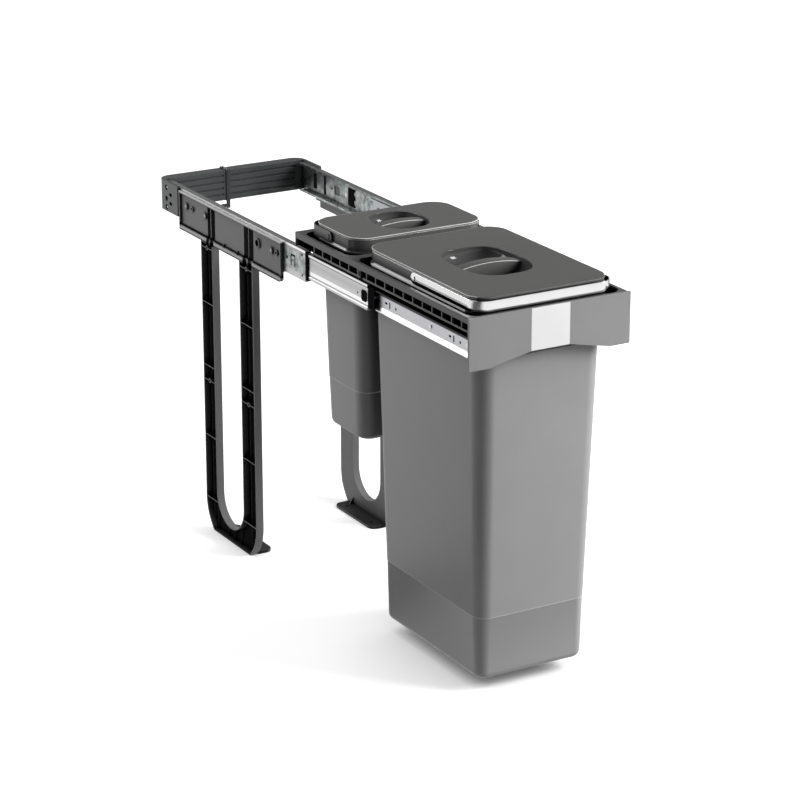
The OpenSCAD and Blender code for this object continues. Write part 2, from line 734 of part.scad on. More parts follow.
// Sections of the bins: base, top of the lower body, the step to the upper body, and the lip
function section(dw, front, rear, r, z) = [bin_half - dw, front, rear, r, z];
big_base = section(14.2, big_front + 18.9, big_rear - 18.9, 16, large_floor);
big_foot = section(12, big_front + 16.3, big_rear - 16.3, 19, large_floor + 91.2);
big_step = section(11.4, big_front + 15.7, big_rear - 15.7, 20, large_floor + 91.19);
big_lip = section(0, big_front + 2, big_rear - 2.6, 26, lip_z + eps);
small_base = section(8.5, small_front + 7.8, small_rear - 11.8, 22, small_floor);
small_foot = section(6.5, small_front + 6.2, small_rear - 10.2, 22, small_floor + 72);
small_step = section(6.1, small_front + 5.8, small_rear - 9.8, 22, small_floor + 71.99);
small_lip = section(0.4, small_front + 1.3, small_rear - 5.3, 23, lip_z + eps);
module large_bin() {
  bin(big_base, big_foot, big_step, big_lip, big_front, big_rear);
}
module small_bin() {
  difference() {
    bin(small_base, small_foot, small_step, small_lip, small_front, small_rear);
    // shallow panels ahead of the handle's ends
    for (sx = [-1, 1]) {
      span([sx * collar_half - 0.6, small_front + 20, collar_z + 3],
        [sx * collar_half + 0.6, small_pivot - 11.5, collar_top - 1]);
    }
  }
}

// Superellipse with half sizes a and b
function ring_pts(a, b, n, k) = [for (i = [0:k - 1]) let (c = cos(360 * i / k), s = sin(360 * i / k))
  [a * sign(c) * pow(abs(c), 2 / n), b * sign(s) * pow(abs(s), 2 / n)]];
module bowl_ring(z, a, b, n) {
  translate([0, 0, z]) linear_extrude(eps) polygon(ring_pts(a, b, n, 40));
}
module bowl(a, b, n, z, depth, grow) {
  hull() {
    bowl_ring(z - eps, a + grow, b + grow, n);
    bowl_ring(z - depth * 0.45, a * 0.93 + grow, b * 0.94 + grow, n);
    bowl_ring(z - depth * 0.8, a * 0.76 + grow, b * 0.8 + grow, n);
    bowl_ring(z - depth - grow, a * 0.5, b * 0.56, 2.2);
  }
}
bar_r = 230;
bar_t = 5;
module lid(front, rear, cy, a, b, n, depth, bar_w) {
  difference() {
    union() {
      linear_extrude_at(lid_z, lid_top) round_rect(-lid_half, front, lid_half, rear, lid_r);
      // skirt that drops inside the collar
      linear_extrude_at(lid_z - 9, lid_z + eps) difference() {
        collar_outline(front, rear, bin_wall + 0.4);
        collar_outline(front, rear, bin_wall + 2.2);
      }
      translate([0, cy, 0]) bowl(a, b, n, lid_top, depth, 2);
    }
    translate([0, cy, 0]) bowl(a, b, n, lid_top + 2 * eps, depth, 0);
  }
  // arched grip bar across the bowl
  translate([0, cy, 0]) intersection() {
    translate([0, -bar_w / 2, lid_top - bar_r]) rotate([-90, 0, 0]) difference() {
      cylinder(h = bar_w, r = bar_r, $fn = 180);
      translate([0, 0, -1]) cylinder(h = bar_w + 2, r = bar_r - bar_t, $fn = 180);
    }
    translate([-a - 0.6, -bar_w, lid_top - 20]) cube([2 * a + 1.2, 2 * bar_w, 20]);
  }
  // walls from the bar's edges down to the bowl's floor
  intersection() {
    translate([0, cy, 0]) bowl(a, b, n, lid_top - 1, depth - 1, 1);
    translate([0, cy - bar_w, lid_top - bar_r]) rotate([-90, 0, 0])
      cylinder(h = 2 * bar_w, r = bar_r - 1, $fn = 180);
    for (y = [cy - bar_w / 2, cy + bar_w / 2 - bin_wall]) {
      span([-a, y, lid_top - depth - 1], [a, y + bin_wall, lid_top]);
    }
  }
}
big_cy = (big_front + big_rear) / 2;
small_cy = (small_front + small_rear) / 2 - 1.5;
module large_lid() {
  lid(big_front, big_rear, big_cy, 49.7, 68.6, 2.85, large_bowl, 19);
}
module small_lid() {
  lid(small_front, small_rear, small_cy, 38.6, 45, 2.5, small_bowl, 16);
}

// U-shaped band lying round the collar, with rounded ends bored for the pins
module band(pivot, end, t, r) {
  flip = end < pivot ? 1 : 0;
  difference() {
    union() {
      translate([0, 0, band_z0]) linear_extrude(band_z1 - band_z0) difference() {
        u_outline(pivot, end, arm_in + t, t, r + t, flip);
        u_outline(pivot, end, arm_in, 0, r, flip);
      }
      for (sx = [-1, 1]) {
        pin_x(sx > 0 ? arm_in : -arm_in - t, sx > 0 ? arm_in + t : -arm_in, pivot, pin_z, 8);
      }
    }
    for (x = [-arm_in - t - 1, arm_in - 1]) {
      pin_x(x, x + t + 2, pivot, pin_z, pin_r + 0.06);
    }
  }
}
// Outline that is open at the pivot and closed at the other end
module u_outline(pivot, end, w, t, r, flip) {
  if (flip == 1) {
    intersection() {
      round_rect(-w, end - t, w, pivot + r + 5, r);
      translate([-w - 1, end - t - 1]) square([2 * w + 2, pivot - end + t + 1]);
    }
  }
  if (flip == 0) {
    intersection() {
      round_rect(-w, pivot - r - 5, w, end + t, r);
      translate([-w - 1, pivot]) square([2 * w + 2, end + t + 1 - pivot]);
    }
  }
}
big_end = big_front - 2.2;
small_end = small_rear + 1.9;
module large_handle() {
  band(big_pivot, big_end, 1.2, 22);
}
module small_handle() {
  band(small_pivot, small_end, 2, 22);
}

// Headed pins on the collar that carry the handle
module handle_pins(pivot, t) {
  for (m = [0, 1]) {
    mirror([m, 0, 0]) {
      pin_x(collar_half, arm_in + t + 0.3, pivot, pin_z, pin_r);
      pin_x(arm_in + t + 0.3, arm_in + t + 1.1, pivot, pin_z, pin_r + 1.2);
    }
  }
}

color("#5c5c5c") place() side_bracket();  // side_bracket_left
color("#5c5c5c") place() right() side_bracket();  // side_bracket_right
color("#c9cbd0") place() fixed_rail();  // fixed_rail_left
color("#c9cbd0") place() right() fixed_rail();  // fixed_rail_right
color("#4a4a4a") place() rear_half(1);  // rear_bracket_left
color("#4a4a4a") place() right() rear_half(-1);  // rear_bracket_right
color("#333333") place() width_clip();
color("#d8d8da") place() width_clamp_screw();
color("#b9bbc0") place() {  // bracket_screws
  bracket_screw_set();
  right() bracket_screw_set();
}
color("#202020") place() {  // cage_stops
  cage_stop();
  right() cage_stop();
}
color("#202020") place() {  // rear_stops
  rear_stop();
  right() rear_stop();
}
color("#d2d4dc") place() middle_rail();  // middle_rail_left
color("#d2d4dc") place() right() middle_rail();  // middle_rail_right
color("#202020") place() middle_bumper();  // middle_bumper_left
color("#202020") place() right() middle_bumper();  // middle_bumper_right
color("#26262a") place() outer_cage();  // outer_cage_left
color("#26262a") place() right() outer_cage();  // outer_cage_right
color("#e0e0e0") place() outer_balls();  // outer_balls_left
color("#e0e0e0") place() right() outer_balls();  // outer_balls_right
color("#26262a") place() inner_cage();  // inner_cage_left
color("#26262a") place() right() inner_cage();  // inner_cage_right
color("#e0e0e0") place() inner_balls();  // inner_balls_left
color("#e0e0e0") place() right() inner_balls();  // inner_balls_right
color("#cfd1d8") place() drawer_rail();  // drawer_rail_left
color("#cfd1d8") place() right() drawer_rail();  // drawer_rail_right
color("#b9bbc0") place() {  // rail_screws
  rail_screw_set();
  right() rail_screw_set();
}
color("#5a5a5a") place() ring_frame();
color("#8c8c8c") place() fascia();
color("#ececec") place() fascia_plate();
color("#b9bbc0") place() fascia_screws();
color("#858585") place() large_bin();
color("#d8d8da") place() handle_pins(big_pivot, 1.2);  // large_handle_pins
color("#5f5f5e") place() large_lid();
color("#dcdcdc") place() large_handle();
color("#858585") place() small_bin();
color("#5f5f5e") place() handle_pins(small_pivot, 2);  // small_handle_pins
color("#5f5f5e") place() small_lid();
color("#5f5f5e") place() small_handle();
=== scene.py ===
import math
from collections import namedtuple
import bpy
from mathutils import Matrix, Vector


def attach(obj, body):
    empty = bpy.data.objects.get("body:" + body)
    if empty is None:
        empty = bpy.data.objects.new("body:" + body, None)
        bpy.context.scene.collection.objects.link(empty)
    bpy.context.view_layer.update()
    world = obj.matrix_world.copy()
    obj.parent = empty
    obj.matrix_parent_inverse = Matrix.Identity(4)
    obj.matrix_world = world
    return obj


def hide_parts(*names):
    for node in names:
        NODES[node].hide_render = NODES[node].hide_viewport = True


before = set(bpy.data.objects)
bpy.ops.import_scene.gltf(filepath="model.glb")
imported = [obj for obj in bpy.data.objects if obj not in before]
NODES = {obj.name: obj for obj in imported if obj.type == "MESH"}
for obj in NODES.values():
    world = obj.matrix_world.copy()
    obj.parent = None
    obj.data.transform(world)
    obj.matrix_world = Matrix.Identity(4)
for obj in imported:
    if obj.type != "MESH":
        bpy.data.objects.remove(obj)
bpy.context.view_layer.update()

# Sizes of the object are in millimetres, and its y counts from the fixed rails' front end, which
# lies at this y in the part's frame
Y0 = -11.45

# Camera, fitted to the photograph: angles in degrees, distance in metres, sensor in millimetres, and
# focal length and picture width in pixels
CAM_AZ = -30.0
CAM_EL = 19.1
CAM_DIST = 4.108
CAM_AIM = (-15.2, -86.5, 311.8)
CAM_FAR = 100.0
FOCAL_PX = 2869.0
IMAGE_PX = 800.0
SENSOR = 36.0

# Lamps in watts, and the place in metres that they point at
KEY = 152
LEFT = 16
TOP = 10
GLINT = 30
LAMP_AIM = (0, -0.1, 0.3)

# World: strength of its light on the object, brightness of its dim top, and the sines of the
# elevations between which it fades to that
AMBIENT = 0.12
CEILING = 0.1
SKY_FADE = (0.05, 0.3)

# Floor: half its size, and its glow near the origin, which grows to white between two distances
FLOOR_HALF = 30
FLOOR_NEAR = 0.62
GLOW_FROM = 0.7
GLOW_TO = 2.4
# Painted shadow under the object, which darkens the floor's glow by occlusion: reach in metres, share
# of the glow that is left, and the occlusion values between which it fades
UNDER_REACH = 0.22
UNDER_DARK = 0.12
UNDER_RANGE = (0.15, 0.9)
UNDER_SAMPLES = 16
# The floor's own colour for the camera, for diffuse rays and in reflections
FLOOR_COL = 0.8
FLOOR_BOUNCE = 0.35
FLOOR_MIRRORED = 0.05

# Studio that metal reflects: azimuth of its pale panels, their brightness ahead and behind, the
# cosines of the angle from them where they start and are full, and the brightness of the rest
PANEL_AZ = 30.0
PANEL_FRONT = 0.9
PANEL_REAR = 0.83
PANEL_EDGE = (0.3, 0.65)
PANEL_DIM = 0.12

# Masks in the materials: their samples, how far the normal turns where an edge starts and is full, the
# occlusion values between which painted corner shade fades, and what counts as facing a way or facing
# inboard
MASK_SAMPLES = 6
EDGE_TURN = (0.02, 0.25)
CAVITY_RANGE = (0.35, 0.95)
FACES = 0.7
FACES_IN = -0.3
# Painted bands of highlight and shadow: half the height of their blends, the ramp's margin at both
# ends, and the shade below which a band is a painted shadow gap
BAND_BLEND = 0.12
BAND_MARGIN = 5.0
GAP_SHADE = 0.03

# Sockets of a Mix node: they share their names, so they are taken by number
MIX_FACTOR = 0
VALUE_A = 2
VALUE_B = 3
VALUE_OUT = 0
COLOUR_A = 6
COLOUR_B = 7
COLOUR_OUT = 2


def point(x, y, z):
    """A point in metres, from millimetres that count from the fixed rails' front end."""
    return Vector((x, y + Y0, z)) / 1000.0


def centre_of(face):
    """A face's centre in millimetres, counted as in point."""
    return face.center.x * 1000.0, face.center.y * 1000.0 - Y0, face.center.z * 1000.0


# Material helpers

def new_mat(name):
    m = bpy.data.materials.new(name)
    m.use_nodes = True
    nt = m.node_tree
    return m, nt, nt.nodes["Principled BSDF"]


def put(nt, value, socket):
    """Links an output to a socket, or sets a number or a colour on it."""
    if isinstance(value, bpy.types.NodeSocket):
        nt.links.new(value, socket)
    elif isinstance(value, tuple):
        socket.default_value = (*value, 1.0)
    else:
        socket.default_value = value


def math_node(nt, op, a, b=0.0):
    m = nt.nodes.new("ShaderNodeMath")
    m.operation = op
    put(nt, a, m.inputs[0])
    put(nt, b, m.inputs[1])
    return m.outputs[0]


def vector_node(nt, op, a, b=None):
    m = nt.nodes.new("ShaderNodeVectorMath")
    m.operation = op
    nt.links.new(a, m.inputs[0])
    if isinstance(b, tuple):
        m.inputs[1].default_value = b
    elif b:
        nt.links.new(b, m.inputs[1])
    return m


def separate(nt, vector):
    xyz = nt.nodes.new("ShaderNodeSeparateXYZ")
    nt.links.new(vector, xyz.inputs[0])
    return xyz.outputs


def remap(nt, out, lo, hi, a=0.3, b=0.7):
    """Values from a to b become values from lo to hi, and stop there."""
    r = nt.nodes.new("ShaderNodeMapRange")
    r.inputs["From Min"].default_value = a
    r.inputs["From Max"].default_value = b
    r.inputs["To Min"].default_value = lo
    r.inputs["To Max"].default_value = hi
    nt.links.new(out, r.inputs["Value"])
    return r.outputs["Result"]


def mix_value(nt, fac, a, b):
    mx = nt.nodes.new("ShaderNodeMix")
    put(nt, fac, mx.inputs[MIX_FACTOR])
    put(nt, a, mx.inputs[VALUE_A])
    put(nt, b, mx.inputs[VALUE_B])
    return mx.outputs[VALUE_OUT]


def mix_col(nt, fac, a, b, blend="MIX"):
    mx = nt.nodes.new("ShaderNodeMix")
    mx.data_type = "RGBA"
    mx.blend_type = blend
    put(nt, fac, mx.inputs[MIX_FACTOR])
    put(nt, a, mx.inputs[COLOUR_A])
    put(nt, b, mx.inputs[COLOUR_B])
    return mx.outputs[COLOUR_OUT]


def times(nt, base, share):
    """A colour multiplied by a share."""
    return mix_col(nt, 1.0, base, share, "MULTIPLY")


def above(nt, value, limit):
    return math_node(nt, "GREATER_THAN", value, limit)


def below(nt, value, limit):
    return math_node(nt, "LESS_THAN", value, limit)


def product(nt, *values):
    out = values[0]
    for value in values[1:]:
        out = math_node(nt, "MULTIPLY", out, value)
    return out


def largest(nt, *values):
    out = values[0]
    for value in values[1:]:
        out = math_node(nt, "MAXIMUM", out, value)
    return out


def noise(nt, scale, detail=2.0, rough=0.5, stretch=None):
    tex = nt.nodes.new("ShaderNodeTexNoise")
    tex.inputs["Scale"].default_value = scale
    tex.inputs["Detail"].default_value = detail
    tex.inputs["Roughness"].default_value = rough
    at = nt.nodes.new("ShaderNodeTexCoord").outputs["Object"]
    if stretch:
        mp = nt.nodes.new("ShaderNodeMapping")
        mp.inputs["Scale"].default_value = stretch
        nt.links.new(at, mp.inputs["Vector"])
        at = mp.outputs["Vector"]
    nt.links.new(at, tex.inputs["Vector"])
    return tex.outputs["Fac"]


def bump(nt, height, dist, normal=None):
    b = nt.nodes.new("ShaderNodeBump")
    b.inputs["Strength"].default_value = 1.0
    b.inputs["Distance"].default_value = dist
    nt.links.new(height, b.inputs["Height"])
    if normal:
        nt.links.new(normal, b.inputs["Normal"])
    return b.outputs["Normal"]


def edge_mask(nt, radius):
    """The normal with softened edges, and a mask that is 1 near the edges and 0 on flats."""
    bev = nt.nodes.new("ShaderNodeBevel")
    bev.samples = MASK_SAMPLES
    bev.inputs["Radius"].default_value = radius
    geo = nt.nodes.new("ShaderNodeNewGeometry")
    dot = vector_node(nt, "DOT_PRODUCT", bev.outputs["Normal"], geo.outputs["True Normal"])
    turn = remap(nt, dot.outputs["Value"], 0.0, 1.0, 1.0 - EDGE_TURN[0], 1.0 - EDGE_TURN[1])
    return bev.outputs["Normal"], turn


def paint_cavity_shade(nt, base, reach, deepest):
    """Paints shade into corners and channels: the colour darkens where nearby surfaces occlude it."""
    ao = nt.nodes.new("ShaderNodeAmbientOcclusion")
    ao.samples = MASK_SAMPLES
    ao.inputs["Distance"].default_value = reach
    return times(nt, base, remap(nt, ao.outputs["AO"], deepest, 1.0, *CAVITY_RANGE))


def facing(nt):
    """Distance from the middle plane, height, and how far the surface faces outboard and up."""
    co = nt.nodes.new("ShaderNodeTexCoord")
    at = separate(nt, co.outputs["Object"])
    face = separate(nt, co.outputs["Normal"])
    outboard = product(nt, face["X"], math_node(nt, "SIGN", at["X"]))
    return math_node(nt, "ABSOLUTE", at["X"]), at["Z"], outboard, face["Z"]


def paint_floor_shade(nt, base, inside, low, high, shade):
    """Paints dark shade on the floors of channels and pockets, where shadow falls, and returns the mask too.

    These are the outboard faces nearer the middle plane than inside, and the upward faces between
    the heights low and high, in metres.
    """
    side, z, outboard, up = facing(nt)
    channels = product(nt, above(nt, outboard, FACES), below(nt, side, inside))
    pockets = product(nt, above(nt, up, FACES), above(nt, z, low), below(nt, z, high))
    mask = largest(nt, channels, pockets)
    return mix_col(nt, mask, base, (shade, shade, shade)), mask


def height_bands(nt, base, bands):
    """Paints level bands of highlight and shadow on faces that don't face inboard, and returns a mask of the
    painted shadow gaps too.

    Each band is (low z, high z, shade there, shade there).
    """
    z0 = bands[0][0] - BAND_MARGIN
    z1 = bands[-1][1] + BAND_MARGIN
    _, height, outboard, _ = facing(nt)
    ramp = nt.nodes.new("ShaderNodeValToRGB")
    stops = ramp.color_ramp.elements
    stops[0].color = (0.0, 0.0, 0.0, 0.0)
    stops[1].color = (0.0, 0.0, 0.0, 0.0)
    for k, (lo, hi, a, b) in enumerate(bands):
        marks = [(lo + BAND_BLEND, a, 1.0), (hi - BAND_BLEND, b, 1.0)]
        if k == 0 or bands[k - 1][1] < lo - BAND_BLEND:
            marks.append((lo - BAND_BLEND, a, 0.0))
        if k == len(bands) - 1 or bands[k + 1][0] > hi + BAND_BLEND:
            marks.append((hi + BAND_BLEND, b, 0.0))
        for z, shade, alpha in sorted(marks):
            stop = stops.new((z - z0) / (z1 - z0))
            stop.color = (shade, shade, shade, alpha)
    nt.links.new(remap(nt, height, 0.0, 1.0, z0 / 1000.0, z1 / 1000.0), ramp.inputs["Fac"])
    painted = product(nt, above(nt, outboard, FACES_IN), ramp.outputs["Alpha"])
    gaps = product(nt, painted, below(nt, ramp.outputs["Color"], GAP_SHADE))
    return mix_col(nt, painted, base, ramp.outputs["Color"]), gaps


def paint_shade_below(nt, base, share, low, high):
    """Paints shade: multiplies a colour by the share below the height low, and leaves it above high."""
    _, height, _, _ = facing(nt)
    return times(nt, base, remap(nt, height, share, 1.0, low / 1000.0, high / 1000.0))


def shades(col, vary):
    """The two colours that are darker and lighter than a colour by a share."""
    return tuple(c * (1 - vary) for c in col), tuple(c * (1 + vary) for c in col)


def plastic(name, col, rough, grain=0.00002, grain_scale=1800, edge=0.0005, edge_light=None, spec=0.5,
            vary=0.06, reach=0.0, deepest=0.15, deep=None, bands=None, fade=None):
    """Moulded plastic: fine grain, slow colour drift, and softened edges with a painted highlight.

    The colour given for the edges is painted on them, in patches, as a highlight. deep, bands and fade go
    to the functions that paint shade on channel floors, paint bands of highlight and shadow, and paint
    shade darker towards the bottom, and reach and deepest go to the one that paints shade into corners.
    """
    m, nt, shader = new_mat(name)
    slow = noise(nt, 9.0, detail=3.0)
    base = mix_col(nt, remap(nt, slow, 0, 1), *shades(col, vary))
    soft_normal, mask = edge_mask(nt, edge)
    # painted highlight: the edges take a lighter colour, in patches
    if edge_light:
        edge_patches = noise(nt, 140.0, detail=4.0, rough=0.7)
        lit_edges = product(nt, mask, remap(nt, edge_patches, 0.5, 1.0))
        base = mix_col(nt, lit_edges, base, (edge_light, edge_light, edge_light))
    # painted shade, darker towards the bottom
    if fade:
        base = paint_shade_below(nt, base, **fade)
    # painted dark shade on channel floors and pockets, and painted bands of highlight and shadow if given
    if deep:
        base, dark_mask = paint_floor_shade(nt, base, **deep)
        if bands:
            base, gaps = height_bands(nt, base, bands)
            dark_mask = largest(nt, dark_mask, gaps)
        # painted shade: channel floors, pockets and painted shadow gaps become black metal, which with a
        # black tint has no sheen, so they stay dark
        nt.links.new(dark_mask, shader.inputs["Metallic"])
        shader.inputs["Specular Tint"].default_value = (0.0, 0.0, 0.0, 1.0)
    # painted shade in corners and channels
    if reach:
        base = paint_cavity_shade(nt, base, reach, deepest)
    nt.links.new(base, shader.inputs["Base Color"])
    nt.links.new(remap(nt, slow, rough * 0.9, rough * 1.1), shader.inputs["Roughness"])
    nt.links.new(bump(nt, noise(nt, grain_scale), grain, soft_normal), shader.inputs["Normal"])
    shader.inputs["Specular IOR Level"].default_value = spec
    return m


def zinc(name, col, rough, spangle=0.06, cloudy=0.06, bands=None):
    """Zinc plate on rolled sheet: clouds, fine drawn marks, dark specks for a share of the spangles, and
    painted bands of highlight and shadow where bands are given.
    """
    m, nt, shader = new_mat(name)
    shader.inputs["Metallic"].default_value = 1.0
    cells = nt.nodes.new("ShaderNodeTexVoronoi")
    cells.inputs["Scale"].default_value = 420.0
    co = nt.nodes.new("ShaderNodeTexCoord")
    nt.links.new(co.outputs["Object"], cells.inputs["Vector"])
    cell = nt.nodes.new("ShaderNodeSeparateColor")
    nt.links.new(cells.outputs["Color"], cell.inputs["Color"])
    cloud = noise(nt, 85.0, detail=5.0, rough=0.65)
    drawn = noise(nt, 500.0, detail=3.0, rough=0.6, stretch=(1.0, 0.02, 1.0))
    base = mix_col(nt, remap(nt, cloud, 0, 1, 0.35, 0.65), *shades(col, cloudy))
    # painted highlights and shadows in level bands
    if bands:
        base, _ = height_bands(nt, base, bands)
    speck = tuple(c * 0.3 for c in col)
    base = mix_col(nt, remap(nt, cell.outputs["Red"], 0, spangle, 0, 1), base, speck)
    nt.links.new(base, shader.inputs["Base Color"])
    nt.links.new(remap(nt, cloud, rough * 0.85, rough * 1.15), shader.inputs["Roughness"])
    nt.links.new(bump(nt, drawn, 0.000008), shader.inputs["Normal"])
    return m


def polished(name, col, rough):
    """Polished stainless steel with hairline polishing marks."""
    m, nt, shader = new_mat(name)
    shader.inputs["Metallic"].default_value = 1.0
    hair = noise(nt, 3000.0, stretch=(0.03, 0.03, 1.0))
    slow = noise(nt, 40.0, detail=3.0)
    base = mix_col(nt, remap(nt, slow, 0, 1), tuple(c * 0.96 for c in col), col)
    nt.links.new(base, shader.inputs["Base Color"])
    nt.links.new(remap(nt, slow, rough * 0.7, rough * 1.5), shader.inputs["Roughness"])
    nt.links.new(bump(nt, hair, 0.000002), shader.inputs["Normal"])
    return m


# Heights of the bins' lips and collars and of the lids, and half the lids' width

LIP_Z = 546.3
COLLAR_Z = 549.5
COLLAR_TOP = 566.4
LID_UNDER = 566.7
LID_TOP = 570.0
LID_HALF = 106.5

# Materials

# Painted highlights, reflections and shadows on the rails' outer faces and on the panel, from the foot up:
# light on rolled lips and ledges, dark in the gaps under them. The panel's lowest band is painted shade on
# its foot.
FIXED_BANDS = (
    (481.0, 490.4, 0.6, 0.55),
    (520.7, 522.3, 0.42, 0.42),
    (522.3, 523.4, 0.3, 0.3),
    (523.4, 526.9, 1.0, 1.0),
)
MIDDLE_BANDS = (
    (485.5, 490.8, 0.56, 0.6),
    (490.8, 492.9, 0.36, 0.36),
    (492.9, 498.5, 1.0, 1.0),
    (498.5, 508.0, 0.58, 0.5),
    (508.0, 517.3, 0.46, 0.56),
    (517.3, 519.2, 0.13, 0.13),
    (519.2, 522.5, 0.75, 0.75),
)
DRAWER_BANDS = (
    (489.9, 495.8, 1.0, 1.0),
    (511.5, 518.1, 0.04, 0.02),
)
PANEL_BANDS = (
    (-1.0, 6.0, 0.04, 0.04),
    (463.6, 465.4, 0.012, 0.012),
    (465.4, 470.2, 0.42, 0.42),
    (470.2, 474.2, 0.012, 0.012),
    (520.6, 522.2, 0.06, 0.06),
    (522.2, 524.6, 0.75, 0.75),
)

# Painted dark shade on the floors of the channels in the brackets' legs and panels and of the pockets of
# the ring frame: limits in metres, and the shade painted there
BRACKET_FLOOR_SHADE = {"inside": 0.1216, "low": 0.05, "high": 0.46, "shade": 0.04}
RING_FLOOR_SHADE = {"inside": 0.1182, "low": 0.0, "high": 0.549, "shade": 0.006}
# Painted shade: the lids' plastic darkens down the bins' collars
COLLAR_SHADE = {"share": 0.6, "low": COLLAR_Z, "high": 566.0}
# What both bins' walls have
BIN_WALL = {"grain": 0.00001, "edge": 0.0006, "edge_light": 0.5, "vary": 0.03, "spec": 0.25}


def grey(value):
    return (value, value, value)


# Plastics with an edge colour get painted highlights on their edges; reach paints shade into corners, deep
# and bands paint dark channel floors and bands of highlight and shadow, and fade paints shade darker towards
# the bottom
MAT = {
    "bracket": plastic("bracket_plastic", grey(0.156), 0.36, edge=0.0008, edge_light=0.34, reach=0.012,
                       deepest=0.05, deep=BRACKET_FLOOR_SHADE, bands=PANEL_BANDS),
    "rear": plastic("rear_plastic", (0.05, 0.053, 0.055), 0.24, edge=0.0007, edge_light=0.22, reach=0.01,
                    deepest=0.2),
    "clip": plastic("clip_plastic", (0.03, 0.03, 0.032), 0.3, edge_light=0.2),
    "black": plastic("black_plastic", (0.012, 0.012, 0.013), 0.35, edge_light=0.05, spec=0.0),
    "ring": plastic("ring_plastic", grey(0.13), 0.36, edge=0.0006, edge_light=0.24, reach=0.014, deepest=0.05,
                    deep=RING_FLOOR_SHADE),
    "fascia": plastic("fascia_plastic", grey(0.257), 0.5, edge_light=0.36),
    "plate": plastic("plate_plastic", grey(0.8), 0.35),
    "bin": plastic("bin_plastic", grey(0.325), 0.36, **BIN_WALL),
    # the small bin has strong painted shade where other parts stand close to it
    "small": plastic("small_bin_plastic", grey(0.325), 0.36, reach=0.06, deepest=0.03, **BIN_WALL),
    "lid": plastic("lid_plastic", (0.107, 0.108, 0.105), 0.3, grain=0.000008, grain_scale=1300, edge_light=0.5,
                   vary=0.03, reach=0.006, deepest=0.2, fade=COLLAR_SHADE),
    "bowl": plastic("lid_bowl_gloss", (0.07, 0.07, 0.069), 0.08, grain=0.000001, vary=0.03),
    # painted highlights: light lines on the lids' edges and the grip bars' front edges, and a crescent at
    # the bowls' left ends
    "edge": plastic("lid_edge_painted_highlight", (0.62, 0.62, 0.61), 0.3, grain=0.000008, vary=0.08),
    # painted highlights: light lines along the bins' rims and collars and at the foot of the lids' edges
    "rim": plastic("bin_rim_painted_highlight", grey(0.85), 0.3, grain=0.000008, vary=0.08),
    # painted highlight: a light line at the bins' step
    "step": plastic("bin_step_painted_highlight", grey(0.5), 0.36, grain=0.00001, vary=0.05),
    "zinc": zinc("zinc_steel", (0.35, 0.375, 0.37), 0.36, spangle=0.12, cloudy=0.6, bands=FIXED_BANDS),
    "middle": zinc("middle_rail_zinc", (0.5, 0.5, 0.53), 0.36, spangle=0.02, cloudy=0.05,
                   bands=MIDDLE_BANDS),
    "drawer": zinc("drawer_rail_zinc", (0.55, 0.55, 0.57), 0.36, spangle=0.02, cloudy=0.04,
                   bands=DRAWER_BANDS),
    "screw": zinc("screw_steel", (0.7, 0.7, 0.72), 0.3, spangle=0.05),
    "ball": polished("ball_steel", (0.8, 0.8, 0.82), 0.05),
    "handle": polished("handle_steel", grey(0.79), 0.07),
}

LOOK = {
    "side_bracket_left": "bracket", "side_bracket_right": "bracket",
    "fixed_rail_left": "zinc", "fixed_rail_right": "zinc",
    "rear_bracket_left": "rear", "rear_bracket_right": "rear",
    "width_clip": "clip", "width_clamp_screw": "screw", "bracket_screws": "screw",
    "cage_stops": "black", "rear_stops": "black",
    "middle_rail_left": "middle", "middle_rail_right": "middle",
    "middle_bumper_left": "black", "middle_bumper_right": "black",
    "outer_cage_left": "black", "outer_cage_right": "black",
    "inner_cage_left": "black", "inner_cage_right": "black",
    "outer_balls_left": "ball", "outer_balls_right": "ball",
    "inner_balls_left": "ball", "inner_balls_right": "ball",
    "drawer_rail_left": "drawer", "drawer_rail_right": "drawer", "rail_screws": "screw",
    "ring_frame": "ring", "fascia": "fascia", "fascia_plate": "plate", "fascia_screws": "screw",
    "large_bin": "bin", "small_bin": "bin", "large_handle_pins": "handle", "small_handle_pins": "lid",
    "large_lid": "lid", "small_lid": "lid", "large_handle": "handle", "small_handle": "lid",
}
for node_name, node_object in NODES.items():
    node_object.data.materials.clear()
    node_object.data.materials.append(MAT[LOOK[node_name]])


# Mesh helpers

def make(name, verts, faces, mat, body, node=None, sharp=35.0):
    """A smooth-shaded piece on a body, in the place of a node if one is named."""
    me = bpy.data.meshes.new(name)
    me.from_pydata([tuple(v) for v in verts], [], faces)
    me.validate()
    me.update()
    for p in me.polygons:
        p.use_smooth = True
    me.set_sharp_from_angle(angle=math.radians(sharp))
    o = bpy.data.objects.new(name, me)
    bpy.context.scene.collection.objects.link(o)
    o.data.materials.append(MAT[mat])
    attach(o, body)
    if node:
        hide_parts(node)
    return o


def more_looks(o, *names):
    """Adds materials to a piece that has one, and returns the number of each."""
    for name in names:
        o.data.materials.append(MAT[name])
    return {name: k + 1 for k, name in enumerate(names)}


def quarter(k, steps, start=0.0):
    """The angle of point k of a quarter turn."""
    return math.radians(start + 90.0 * k / steps)


def rounded(hw, y0, y1, r, z, steps=14):
    """Rounded rectangle ring at height z, anticlockwise seen from above."""
    pts = []
    corners = ((hw - r, y1 - r, 0), (-hw + r, y1 - r, 90), (-hw + r, y0 + r, 180), (hw - r, y0 + r, 270))
    for cx, cy, start in corners:
        for k in range(steps + 1):
            a = quarter(k, steps, start)
            pts.append(point(cx + r * math.cos(a), cy + r * math.sin(a), z))
    return pts


def depth_inside(x, y, hw, y0, y1, r):
    """How far inside a rounded rectangle's outline a point lies."""
    dx = abs(x) - (hw - r)
    dy = abs(y - (y0 + y1) / 2) - ((y1 - y0) / 2 - r)
    return r - math.hypot(max(dx, 0.0), max(dy, 0.0)) - min(max(dx, dy), 0.0)


